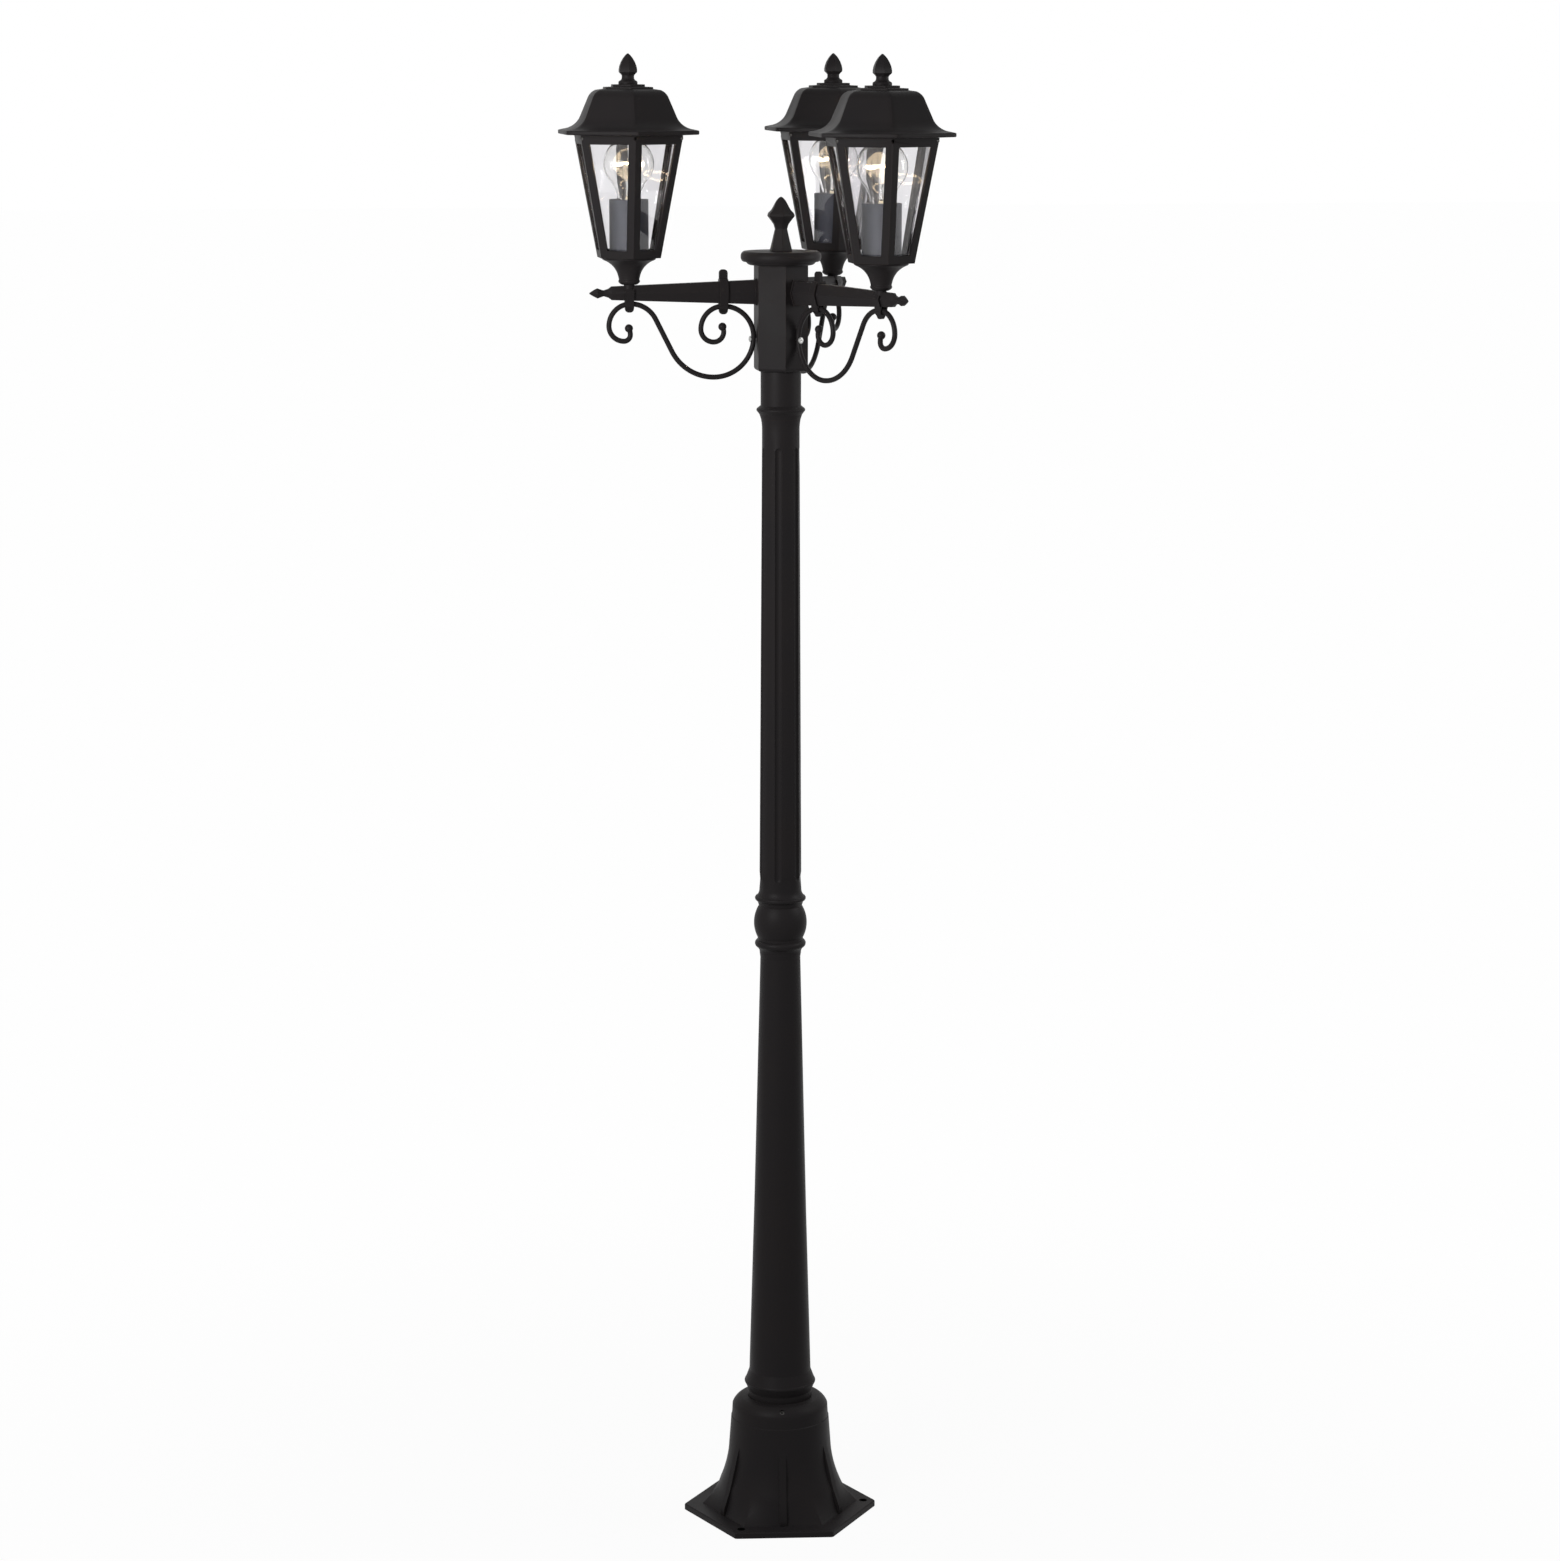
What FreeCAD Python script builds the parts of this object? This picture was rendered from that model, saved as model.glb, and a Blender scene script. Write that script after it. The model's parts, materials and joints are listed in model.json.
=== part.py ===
"""Garden lamp post with three hexagonal lanterns on scrolled arms.

Millimetres, +Z up, origin at the middle of the base plate's underside. Every casting, rod, strap,
screw, pane and lamp is a body or feature of its own, built from the sizes in the sheet "dims".
"""
import FreeCAD
import Part
from Sketcher import Constraint as Sketch
import math
import os
import re
from FreeCAD import Placement, Rotation, Vector

SIZES = {
    # A hexagon's flat lies at this share of its corner radius.
    "flat_ratio": 0.8660254,
    "fit": 0.3,
    "thread_fit": 0.15,
    # Base: hexagonal plate, flared bell and its socket for the post.
    "base_turn": 23.5,
    "plate_corner": 120.3,
    "plate_thick": 7.5,
    "plate_round": 4.0,
    "plate_opening": 76.0,
    "bolt_ring": 105.0,
    "bolt_hole": 4.75,
    "flare_reach": 97.0,
    "bell_waist": 75.0,
    "bell_waist_z": "0.2584 * bell_top_z",
    "bell_side": 64.0,
    "bell_side_z": "0.5422 * bell_top_z",
    "bell_wall": 4.2,
    "band_z": "bell_top_z - 25.4",
    "band_step": 0.8,
    "bell_shoulder": "bell_top + 10.5",
    "bell_shoulder_z": "bell_top_z - 10.8",
    "bell_top": "post_foot + 9.4",
    "bell_crown": 20.0,
    "bell_top_z": 149.4,
    "socket_floor": "bell_top_z - 53.4",
    "socket_lip": 6.0,
    "rib_width": 8.5,
    "rib_top_z": "0.6292 * bell_top_z",
    "rib_reach": 85.5,
    "set_screw": 3.0,
    "set_screw_long": 18.5,
    "set_screw_tilt": -45.8,
    "set_screw_out": "bell_top + 5.25",
    "set_screw_z": "bell_top_z - 5.4",
    # Lower post: spigot, bottom collar, taper and top ring.
    "post_foot": 39.4,
    "collar_z": "bell_top_z + 18.6",
    "collar_out": "post_foot + 4.1",
    "taper_low": "post_foot - 1.2",
    "taper_low_z": "collar_z + 16",
    "taper_mid": "0.5704 * taper_low + 0.4296 * taper_top",
    "taper_mid_z": "taper_low_z + 0.3883 * taper_long",
    "taper_top": 24.5,
    "taper_long": 528.0,
    "taper_top_z": "taper_low_z + taper_long",
    "lower_ring": "taper_top + 5.6",
    "lower_ring_z": "taper_top_z + 17",
    "seam_low": "lower_ring_z + 7.7",
    "seam_low_out": "taper_top + 3.3",
    "post_wall": 4.0,
    # Coupling ball between the posts.
    "ball_high": 39.7,
    "ball_swell": "taper_top + 15.5",
    "seam_high": "seam_low + ball_high",
    "seam_high_out": "shaft_low + 0.6",
    "spigot": 18.0,
    "spigot_long": 35.0,
    "wire_way": 8.0,
    # Upper post with six flutes.
    "upper_ring": "shaft_low + 4.4",
    "upper_ring_z": "seam_high + 8.8",
    "shaft_low": 25.6,
    "shaft_low_z": "upper_ring_z + 12.8",
    "shaft_top": 22.5,
    "shaft_long": 559.0,
    "shaft_top_z": "shaft_low_z + shaft_long",
    "post_top": "shaft_top + 1.3",
    "post_top_z": "shaft_top_z + 14",
    "shaft_bore": 16.8,
    "flute_cutter": 6.0,
    "flute_depth": 2.2,
    "flute_z": "shaft_low_z + 15",
    "flute_long": "shaft_long - 39",
    "flute_lean": 0.34,
    "flute_turn": 14.2,
    # Neck collar that carries the hub.
    "neck_spigot": "shaft_bore - fit",
    "neck_spigot_z": "post_top_z - 26",
    "neck_ring": "post_top + 4.9",
    "neck_ring_z": "post_top_z + 10.8",
    "neck_tube": 24.2,
    "neck_top_z": "post_top_z + 84",
    "neck_way": 12.0,
    # Hub, cap disc and finial.
    "hub_corner": 34.4,
    "hub_high": 125.5,
    "hub_low_z": "neck_top_z - 27",
    "hub_top_z": "hub_low_z + hub_high",
    "hub_bore": 19.5,
    "hub_round": 4.5,
    "cap_step": 41.6,
    "cap_step_z": "hub_top_z + 4.1",
    "cap_disc": "cap_step + 6.2",
    "cap_mid_z": "hub_top_z + 10.1",
    "cap_top_z": "hub_top_z + 16.1",
    "cap_spigot": 8.0,
    "stud": 4.0,
    # Arms, set out from the post's axis.
    "arm_z": "hub_top_z - 31.7",
    "arm_root": "hub_corner * flat_ratio + 2",
    "arm_root_half": 14.3,
    "arm_root_wide": 9.6,
    "arm_end": "reach + 21",
    "arm_end_half": 7.95,
    "arm_end_wide": 6.2,
    "arm_flange_half": 15.5,
    "arm_flange_wide": 10.8,
    "arm_crown": 0.55,
    "stud_in": 10.5,
    "nut_corner": 7.4,
    "nut_thick": 6.0,
    "nut_in": 12.2,
    # Lantern axis, stem and the seats along it.
    "reach": 181.5,
    "boss": "stem + 1.4",
    "seat_z": "arm_z + 9.9",
    "stem": 5.0,
    "stem_bore": 3.2,
    "stem_low_z": "arm_z - 3.8",
    "stem_top_z": "frame_floor_z + 6.5",
    "stem_nut": 8.3,
    "stem_nut_thick": 5.0,
    # Wrought scroll under each arm.
    "rod": 3.1,
    "rod_ball": "1.6 * rod",
    "scroll_start": "hub_corner * flat_ratio + rod + 35.9",
    "scroll_start_z": "arm_z - 46.7",
    "scroll_screw_z": "arm_z - 55.6",
    "crest_in": 1.6,
    "sweep_low": 0.569,
    "sweep_high": 0.3336,
    "scroll_screw": 1.6,
    "scroll_head": 3.8,
    "scroll_head_high": 2.4,
    "scroll_screw_in": 25.0,
    # Clamp straps.
    "strap_wide": 10.3,
    "strap": 2.2,
    "tab": 2.1,
    "tab_round": 4.2,
    "inner_clamp": "scroll_start + 0.5",
    "inner_rod_z": "arm_z - 16.4",
    "inner_tab_top": "arm_z + 26.9",
    "inner_tab_low": "arm_z - 26",
    "outer_rod_z": "arm_z - 12.9",
    "outer_tab_low": "arm_z - 22.8",
    "outer_strap_top": "arm_z + 4.6",
    # Cup under the lantern.
    "cup_foot": 8.4,
    "cup_lip": 12.3,
    "cup_high": 31.8,
    "cup_lip_z": "seat_z + 3.3",
    "cup_neck_z": "seat_z + 9.3",
    "cup_brow": 29.3,
    "cup_brow_z": "cup_top_z - 3.3",
    "cup_flange": "cup_brow + 2.3",
    "cup_top_z": "seat_z + cup_high",
    "cup_well": 9.4,
    "cup_floor_z": "seat_z + 6.3",
    # Lantern frame and panes.
    "frame_low_corner": 40.6,
    "frame_top_corner": 69.5,
    "frame_high": 142.5,
    "frame_top_z": "cup_top_z + frame_high",
    "frame_wall": 3.0,
    "frame_floor_z": "cup_top_z + 4",
    "window_low_z": "cup_top_z + 9.1",
    "window_top_z": "frame_top_z - 10.1",
    "window_low_half": "0.5 * frame_low_corner - 8.1",
    "window_top_half": "0.5 * frame_top_corner - 10.1",
    "pane_low_z": "cup_top_z + 4.3",
    "pane_top_z": "frame_top_z - 5.5",
    "pane_low_out": "frame_low_corner * flat_ratio - frame_wall + 0.38",
    "pane_top_out": "frame_top_corner * flat_ratio - frame_wall - 1.42",
    "pane_thick": 2.5,
    "pane_low_half": "0.57735 * pane_low_out - 2.29",
    "pane_top_half": "0.57735 * pane_top_out - 2.55",
    # Roof, in distances of its flats from the axis.
    "skirt_low_z": "frame_top_z - 4.5",
    "skirt_out": "frame_top_corner * flat_ratio - frame_wall - 1.32",
    "skirt_in": "skirt_out - 2.4",
    "roof_seat_z": "frame_top_z + 0.3",
    "roof_seat_out": "skirt_out + 6.8",
    "brim": 78.2,
    "brim_low_z": "roof_seat_z + 0.7",
    "brim_top_z": "brim_low_z + 4.8",
    "roof_rise": 52.6,
    "brow": "0.884 * brim",
    "brow_z": "brim_top_z + 0.0342 * roof_rise",
    "waist": "0.6855 * brim",
    "waist_z": "brim_top_z + 0.2928 * roof_rise",
    "shoulder": "0.5718 * brim",
    "shoulder_z": "brim_top_z + 0.7129 * roof_rise",
    "crown": "0.461 * brim",
    "crown_z": "roof_top_z - 6.3",
    "step_one": "0.3551 * brim",
    "step_one_z": "roof_top_z - 3",
    "step_two": "0.239 * brim",
    "roof_top_z": "brim_top_z + roof_rise",
    "roof_under_z": "roof_top_z - 7.2",
    "roof_hole": "roof_stud + 7",
    "roof_stud": 3.0,
    # Roof screws through the frame's top ring.
    "roof_screw_z": "frame_top_z - 3.1",
    "roof_screw": 1.5,
    "roof_screw_head": "1.733 * roof_screw",
    "roof_screw_seat": "frame_top_corner - 2.2",
    "roof_screw_tip": "frame_top_corner - 4.4",
    # Lampholder, sleeve and bulb.
    "holder_flange": "holder + 2",
    "holder_flange_high": 3.5,
    "holder": "holder_bore + 4.5",
    "holder_high": 60.5,
    "holder_top_z": "frame_floor_z + holder_high",
    "holder_well": "stem_nut + 1.3",
    "holder_well_z": "frame_floor_z + 9",
    "holder_bore": "bulb_cap + 0.8",
    "holder_contact_z": "holder_top_z - 31",
    "sleeve": "holder + 4",
    "sleeve_wall": 1.3,
    "sleeve_top_z": "holder_top_z + 3.7",
    "bulb_cap": 13.3,
    "bulb_cap_wall": 0.6,
    "bulb_cap_low_z": "holder_contact_z + 0.3",
    "bulb_cap_top_z": "bulb_cap_low_z + 27.2",
    "bulb_neck": "bulb_cap - 1",
    "bulb_neck_low_z": "bulb_cap_top_z - 5.5",
    "bulb_neck_z": "bulb_cap_top_z + 2.5",
    "bulb_top_z": "bulb_neck_z + 75.6",
    "bulb_flank": 40.2,
    "bulb_touch": "bulb_neck + 9.96",
    "bulb_touch_z": "bulb_neck_z + 26.49",
    "bulb_glass": 0.9,
    "bulb_inner_touch": "bulb_touch - 0.68",
    "bulb_inner_touch_z": "bulb_touch_z + 0.6",
}

# The bell's flare from its foot to the waist, as shares of its height and of its spread.
FLARE = [(0.0, 1.0), (0.24, 0.68), (0.47, 0.43), (0.72, 0.2), (1.0, 0.0)]

# The three arms point these ways, in degrees from +X.
SIDES = {"left": 180.0, "front": -60.0, "back": 60.0}

# Radii of the scroll rod's quarter turns, from its inner ball outwards and on to its outer ball.
CURL = [12.0, 15.4, 26.9, 36.4, 47.5]
HOOK = [26.0, 17.9, 7.5]

# Each end of the rod goes on past its last quarter turn, as (radius, degrees).
CURL_END = (12.0, 30)
HOOK_END = (18.0, 25)

doc = FreeCAD.newDocument("lamp_post")
sheet = doc.addObject("Spreadsheet::Sheet", "dims")
for row, alias in enumerate(SIZES, 1):
    sheet.set("A%d" % row, alias)
    sheet.setAlias("B%d" % row, alias)
for row, value in enumerate(SIZES.values(), 1):
    sheet.set("B%d" % row, "=" + value if isinstance(value, str) else str(value))
doc.recompute()

nodes = []


def size(name):
    """The value of one size, worked out where it hangs on others."""
    value = SIZES[name]
    return number(value) if isinstance(value, str) else value


def number(text):
    """The value of a sum of products of sheet names and numbers, such as 'reach - 2 * boss'."""
    total = 0.0
    for term in text.replace("-", "+-").split("+"):
        if term.strip():
            product = 1.0
            for factor in term.split("*"):
                factor = factor.strip()
                if factor.startswith("-"):
                    product = -product
                    factor = factor[1:].strip()
                product *= size(factor) if factor in SIZES else float(factor)
            total += product
    return total


def bind(thing, prop, text):
    """Ties a property to the sheet."""
    thing.setExpression(prop, re.sub(r"[a-z][a-z_]*", lambda name: "dims." + name.group(), text))


def times(text, factor):
    """Multiplies each term of a sum by a factor, which may start with a minus."""
    terms = [term.strip() for term in text.replace("-", "+-").split("+") if term.strip()]
    if factor.startswith("-"):
        factor = factor[1:]
        terms = [term[1:].strip() if term.startswith("-") else "-" + term for term in terms]
    return " + ".join("%s * %s" % (term, factor) for term in terms)


def hexagon(corner):
    """Corners of a hexagon with one flat towards +X."""
    flat = times(corner, "flat_ratio")
    half = times(corner, "0.5")
    left = times(flat, "-1")
    return [(flat, times(half, "-1")), (flat, half), ("0", corner), (left, half),
            (left, times(half, "-1")), ("0", times(corner, "-1"))]


def rectangle(left, right, low, high):
    return [(left, low), (right, low), (right, high), (left, high)]


def new_body(label, solids=1):
    body = doc.addObject("PartDesign::Body", label)
    body.Label = label
    body.AllowCompound = solids > 1
    nodes.append((body, solids))
    return body


def origin_part(body, role):
    return [part for part in body.Origin.OriginFeatures if part.Role == role][0]


def new_sketch(body, role, lift="0"):
    """A sketch on one of the body's own planes, lifted along the plane's normal."""
    sketch = body.newObject("Sketcher::SketchObject", "sketch")
    sketch.AttachmentSupport = [(origin_part(body, role), "")]
    sketch.MapMode = "FlatFace"
    if lift != "0":
        bind(sketch, "AttachmentOffset.Base.z", lift)
    return sketch


def tie(sketch, geometry, place, across, up):
    """Fixes one end of an edge, or a centre, at sheet distances from the sketch's origin."""
    for kind, axis, text in (("DistanceX", -2, across), ("DistanceY", -1, up)):
        if text == "0":
            sketch.addConstraint(Sketch("PointOnObject", geometry, place, axis))
        else:
            index = sketch.addConstraint(Sketch(kind, -1, 1, geometry, place, number(text)))
            bind(sketch, "Constraints[%d]" % index, text)


def middle_of_arc(start, end, radius):
    """A point half way along the arc that turns left for a positive radius."""
    chord = end - start
    half = chord.Length / 2
    rise = abs(radius) - math.sqrt(radius * radius - half * half)
    side = Vector(chord.y, -chord.x, 0).normalize()
    return (start + end) * 0.5 + side * math.copysign(rise, radius)


def dome_radius(start, end):
    """Radius of the arc between two points whose centre lies on the axis that one of them is on."""
    if min(abs(start.x), abs(end.x)) > 1e-9:
        start, end = Vector(start.y, start.x, 0), Vector(end.y, end.x, 0)
        return -dome_radius(start, end)
    centre = (start.y ** 2 + start.x ** 2 - end.y ** 2 - end.x ** 2) / (2 * (start.y - end.y))
    turning = start.x * (end.y - centre) - end.x * (start.y - centre)
    return math.copysign(start.distanceToPoint(Vector(0, centre, 0)), turning)


def outline(sketch, corners):
    """Closes a chain of corners (across, up) or (across, up, radius of the edge that follows).

    A radius of "dome" gives the edge a centre on the axis, for a pole that a revolution closes.
    """
    spots = [Vector(number(corner[0]), number(corner[1]), 0) for corner in corners]
    ends = []
    for index, corner in enumerate(corners):
        start = spots[index]
        end = spots[(index + 1) % len(spots)]
        if len(corner) == 2:
            edge = sketch.addGeometry(Part.LineSegment(start, end), False)
            ends.append((edge, 1, 2))
        else:
            dome = corner[2] == "dome"
            radius = dome_radius(start, end) if dome else number(corner[2])
            arc = Part.Arc(start, middle_of_arc(start, end, radius), end)
            edge = sketch.addGeometry(arc, False)
            forward = sketch.getPoint(edge, 1).distanceToPoint(start) < 1e-6
            ends.append((edge, 1, 2) if forward else (edge, 2, 1))
            if dome:
                upright = min(abs(start.x), abs(end.x)) < 1e-9
                sketch.addConstraint(Sketch("PointOnObject", edge, 3, -2 if upright else -1))
            else:
                index = sketch.addConstraint(Sketch("Radius", edge, abs(radius)))
                size = corner[2] if radius > 0 else times(corner[2], "-1")
                bind(sketch, "Constraints[%d]" % index, size)
    for index, corner in enumerate(corners):
        edge, first, _ = ends[index]
        before, _, last = ends[index - 1]
        sketch.addConstraint(Sketch("Coincident", before, last, edge, first))
        tie(sketch, edge, first, corner[0], corner[1])


def circle(sketch, across, up, radius):
    spot = Vector(number(across), number(up), 0)
    ring = sketch.addGeometry(Part.Circle(spot, Vector(0, 0, 1), number(radius)), False)
    tie(sketch, ring, 3, across, up)
    index = sketch.addConstraint(Sketch("Radius", ring, number(radius)))
    bind(sketch, "Constraints[%d]" % index, radius)


def revolve(body, corners, kind="Revolution", role="XZ_Plane", axis="V_Axis", shift=None):
    """Turns an outline about the sketch's axis; shift is (across, up, tilt) of its origin."""
    sketch = new_sketch(body, role)
    if shift:
        across, up, tilt = shift
        bind(sketch, "AttachmentOffset.Base.x", across)
        bind(sketch, "AttachmentOffset.Base.y", up)
        bind(sketch, "AttachmentOffset.Rotation.Angle", tilt)
    outline(sketch, corners)
    feature = body.newObject("PartDesign::" + kind, kind.lower())
    feature.Profile = sketch
    feature.ReferenceAxis = (sketch, [axis])
    feature.Angle = 360
    return feature


def extrude(body, draw, kind, role, lift, length, back=False):
    """Pads or pockets what draw puts into a sketch, back meaning against the usual way."""
    sketch = new_sketch(body, role, lift)
    draw(sketch)
    feature = body.newObject("PartDesign::" + kind, kind.lower())
    feature.Profile = sketch
    bind(feature, "Length", length)
    feature.Reversed = back
    return feature


def pad(body, corners, role, lift, length):
    return extrude(body, lambda sketch: outline(sketch, corners), "Pad", role, lift, length)


def pocket(body, corners, role, lift, length):
    return extrude(body, lambda sketch: outline(sketch, corners), "Pocket", role, lift, length, True)


def peg(body, spot, role, lift, length):
    return extrude(body, lambda sketch: circle(sketch, *spot), "Pad", role, lift, length)


def drill(body, spot, role, lift, length):
    return extrude(body, lambda sketch: circle(sketch, *spot), "Pocket", role, lift, length, True)


def loft(body, sections, role, kind="AdditiveLoft"):
    """Joins outlines (corners, lift) with flat-sided walls."""
    sketches = []
    for corners, lift in sections:
        sketch = new_sketch(body, role, lift)
        outline(sketch, corners)
        sketches.append(sketch)
    feature = body.newObject("PartDesign::" + kind, kind.lower())
    feature.Profile = sketches[0]
    feature.Sections = sketches[1:]
    feature.Ruled = True
    return feature


def ring_of(body, features, count):
    """Repeats features about the body's own Z axis."""
    pattern = body.newObject("PartDesign::PolarPattern", "ring")
    pattern.Originals = features
    pattern.Axis = (origin_part(body, "Z_Axis"), [""])
    pattern.Angle = 360
    pattern.Occurrences = count
    body.Tip = pattern
    return pattern


def edges_of(feature, wanted):
    return ["Edge%d" % rank for rank, edge in enumerate(feature.Shape.Edges, 1) if wanted(edge)]


def soften(body, feature, wanted, size, kind="Fillet"):
    """Rounds or bevels the edges that pass the test."""
    doc.recompute()
    blend = body.newObject("PartDesign::" + kind, kind.lower())
    blend.Base = (feature, edges_of(feature, wanted))
    bind(blend, "Radius" if kind == "Fillet" else "Size", size)
    return blend


def turn(body, angle, out=None):
    """Turns a body about the post and, for a lantern piece, moves it out to the lantern's axis."""
    body.Placement = Placement(Vector(), Rotation(Vector(0, 0, 1), angle))
    if out:
        body.setExpression("Placement.Base.x", "dims.%s * cos(%g)" % (out, angle))
        body.setExpression("Placement.Base.y", "dims.%s * sin(%g)" % (out, angle))


def turned(label, corners, side=None):
    """A plain turned piece."""
    body = new_body(label)
    revolve(body, corners)
    if side:
        turn(body, SIDES[side], "reach")
    return body


def flare_section(spread):
    """A hexagon at full spread, whose sides swell until they make a circle at none."""
    corner = "%.3f * flare_reach + %.3f * bell_waist" % (spread, 1 - spread)
    chord = number(corner)
    flat = size("flat_ratio") * spread * size("flare_reach") + (1 - spread) * size("bell_waist")
    swell = flat - size("flat_ratio") * chord
    if swell < 0.01:
        return hexagon(corner)
    radius = "%.4f" % (chord ** 2 / 8 / swell + swell / 2)
    return [(across, up, radius) for across, up in hexagon(corner)]


def base_casting():
    body = new_body("base_casting")
    plate = pad(body, hexagon("plate_corner"), "XY_Plane", "0", "plate_thick")
    plate = soften(body, plate, lambda edge: edge.BoundBox.ZLength > 1, "plate_round")
    soften(body, plate, lambda edge: edge.BoundBox.ZMin > 1, "1.2", "Chamfer")
    flare = loft(body, [
        (flare_section(spread), "%.2f * bell_waist_z + %.2f * plate_thick" % (rise, 1 - rise))
        for rise, spread in FLARE], "XY_Plane")
    flare.Ruled = False
    revolve(body, [
        ("0", "bell_waist_z"), ("bell_waist", "bell_waist_z", "-150"), ("bell_side", "bell_side_z"),
        ("bell_shoulder + 2 * band_step", "band_z - band_step"),
        ("bell_shoulder + band_step", "band_z"), ("bell_shoulder", "bell_shoulder_z", "bell_crown"),
        ("bell_top", "bell_top_z"), ("0", "bell_top_z")])
    rib = body.newObject("Sketcher::SketchObject", "rib")
    rib.AttachmentSupport = [(origin_part(body, "XZ_Plane"), "")]
    rib.MapMode = "FlatFace"
    outline(rib, [
        ("bell_side - 4", "plate_thick"), ("rib_reach", "plate_thick"), ("rib_reach", "16"),
        ("bell_waist + 2", "bell_waist_z"), ("bell_side - 1.3", "rib_top_z"),
        ("bell_side - 4", "rib_top_z")])
    web = body.newObject("PartDesign::Pad", "web")
    web.Profile = rib
    bind(web, "Length", "rib_width")
    web.Midplane = True
    ring_of(body, [web], 6)
    revolve(body, [
        ("0", "0"), ("plate_opening", "0"), ("plate_opening", "plate_thick"),
        ("bell_waist - bell_wall", "bell_waist_z", "-150"), ("bell_side - bell_wall", "bell_side_z"),
        ("bell_shoulder - bell_wall", "bell_shoulder_z - bell_wall"),
        ("post_foot + fit + bell_wall", "bell_shoulder_z - bell_wall - 6"),
        ("post_foot + fit + bell_wall", "socket_floor - socket_lip"),
        ("post_foot - bell_wall", "socket_floor - socket_lip"),
        ("post_foot - bell_wall", "socket_floor"), ("post_foot + fit", "socket_floor"),
        ("post_foot + fit", "bell_top_z"), ("0", "bell_top_z")], "Groove")
    bolt = drill(body, ("bolt_ring * flat_ratio", "-0.5 * bolt_ring", "bolt_hole"),
                 "XY_Plane", "0", "plate_thick")
    ring_of(body, [bolt], 3)
    hole = revolve(body, rectangle("0", "set_screw + thread_fit", "-set_screw_long - 2", "4"),
                   "Groove", shift=("set_screw_out", "set_screw_z", "set_screw_tilt"))
    ring_of(body, [hole], 3)
    turn(body, size("base_turn"))


def base_set_screws():
    body = new_body("base_set_screws", 3)
    screw = revolve(body, [
        ("0", "-set_screw_long"), ("0.5 * set_screw", "-set_screw_long"),
        ("set_screw", "-set_screw_long + 1.5"), ("set_screw", "-1.4"), ("0.5 * set_screw", "-1.4"),
        ("0.5 * set_screw", "-4"), ("0", "-4")],
        shift=("set_screw_out", "set_screw_z", "set_screw_tilt"))
    ring_of(body, [screw], 3)
    turn(body, size("base_turn"))


def posts():
    turned("lower_post", [
        ("post_foot", "socket_floor"), ("post_foot", "collar_z - 10.5"),
        ("collar_out - 0.3", "collar_z - 1.5", "3"), ("collar_out - 0.4", "collar_z + 3"),
        ("taper_low", "taper_low_z"), ("taper_mid", "taper_mid_z"), ("taper_top", "taper_top_z"),
        ("taper_top + 0.8", "taper_top_z + 5", "-9"), ("lower_ring - 0.6", "lower_ring_z - 3.6", "4.8"),
        ("seam_low_out", "lower_ring_z + 4.6"), ("seam_low_out", "seam_low"),
        ("spigot + fit", "seam_low"), ("spigot + fit", "seam_low - spigot_long - 1"),
        ("taper_top - post_wall", "seam_low - spigot_long - 1"),
        ("taper_low - post_wall", "taper_low_z"), ("post_foot - post_wall", "socket_floor")])
    turned("post_coupling", [
        ("wire_way", "seam_low - spigot_long"), ("spigot", "seam_low - spigot_long"),
        ("spigot", "seam_low"), ("seam_low_out", "seam_low", "ball_swell"),
        ("seam_high_out", "seam_high"), ("spigot", "seam_high"),
        ("spigot", "seam_high + spigot_long"), ("wire_way", "seam_high + spigot_long")])
    body = new_body("upper_post")
    revolve(body, [
        ("spigot + fit", "seam_high"), ("seam_high_out", "seam_high"),
        ("seam_high_out + 1", "upper_ring_z - 6.2", "-6"), ("upper_ring - 0.5", "upper_ring_z - 2.2", "3"),
        ("upper_ring - 1.4", "upper_ring_z + 3.4", "-14"), ("shaft_low", "shaft_low_z"),
        ("shaft_top", "shaft_top_z", "-60"), ("post_top", "post_top_z"), ("shaft_bore", "post_top_z"),
        ("shaft_bore", "seam_high + spigot_long + 1"), ("spigot + fit", "seam_high + spigot_long + 1")])
    flute = revolve(body, [
        ("0", "-flute_cutter", "dome"), ("flute_cutter", "0"),
        ("flute_cutter", "flute_long", "dome"), ("0", "flute_long + flute_cutter")],
        "Groove", shift=("shaft_low + flute_cutter - flute_depth", "flute_z", "flute_lean"))
    ring_of(body, [flute], 6)
    turn(body, size("flute_turn"))
    turned("neck_collar", [
        ("neck_way", "neck_spigot_z"), ("neck_spigot", "neck_spigot_z"),
        ("neck_spigot", "post_top_z"), ("post_top", "post_top_z"),
        ("post_top + 1.8", "neck_ring_z - 5.4"), ("neck_ring - 0.5", "neck_ring_z - 2", "2.6"),
        ("neck_ring - 0.7", "neck_ring_z + 2.2"), ("neck_tube", "neck_ring_z + 5.2"),
        ("neck_tube", "neck_top_z"), ("neck_way", "neck_top_z")])


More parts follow.
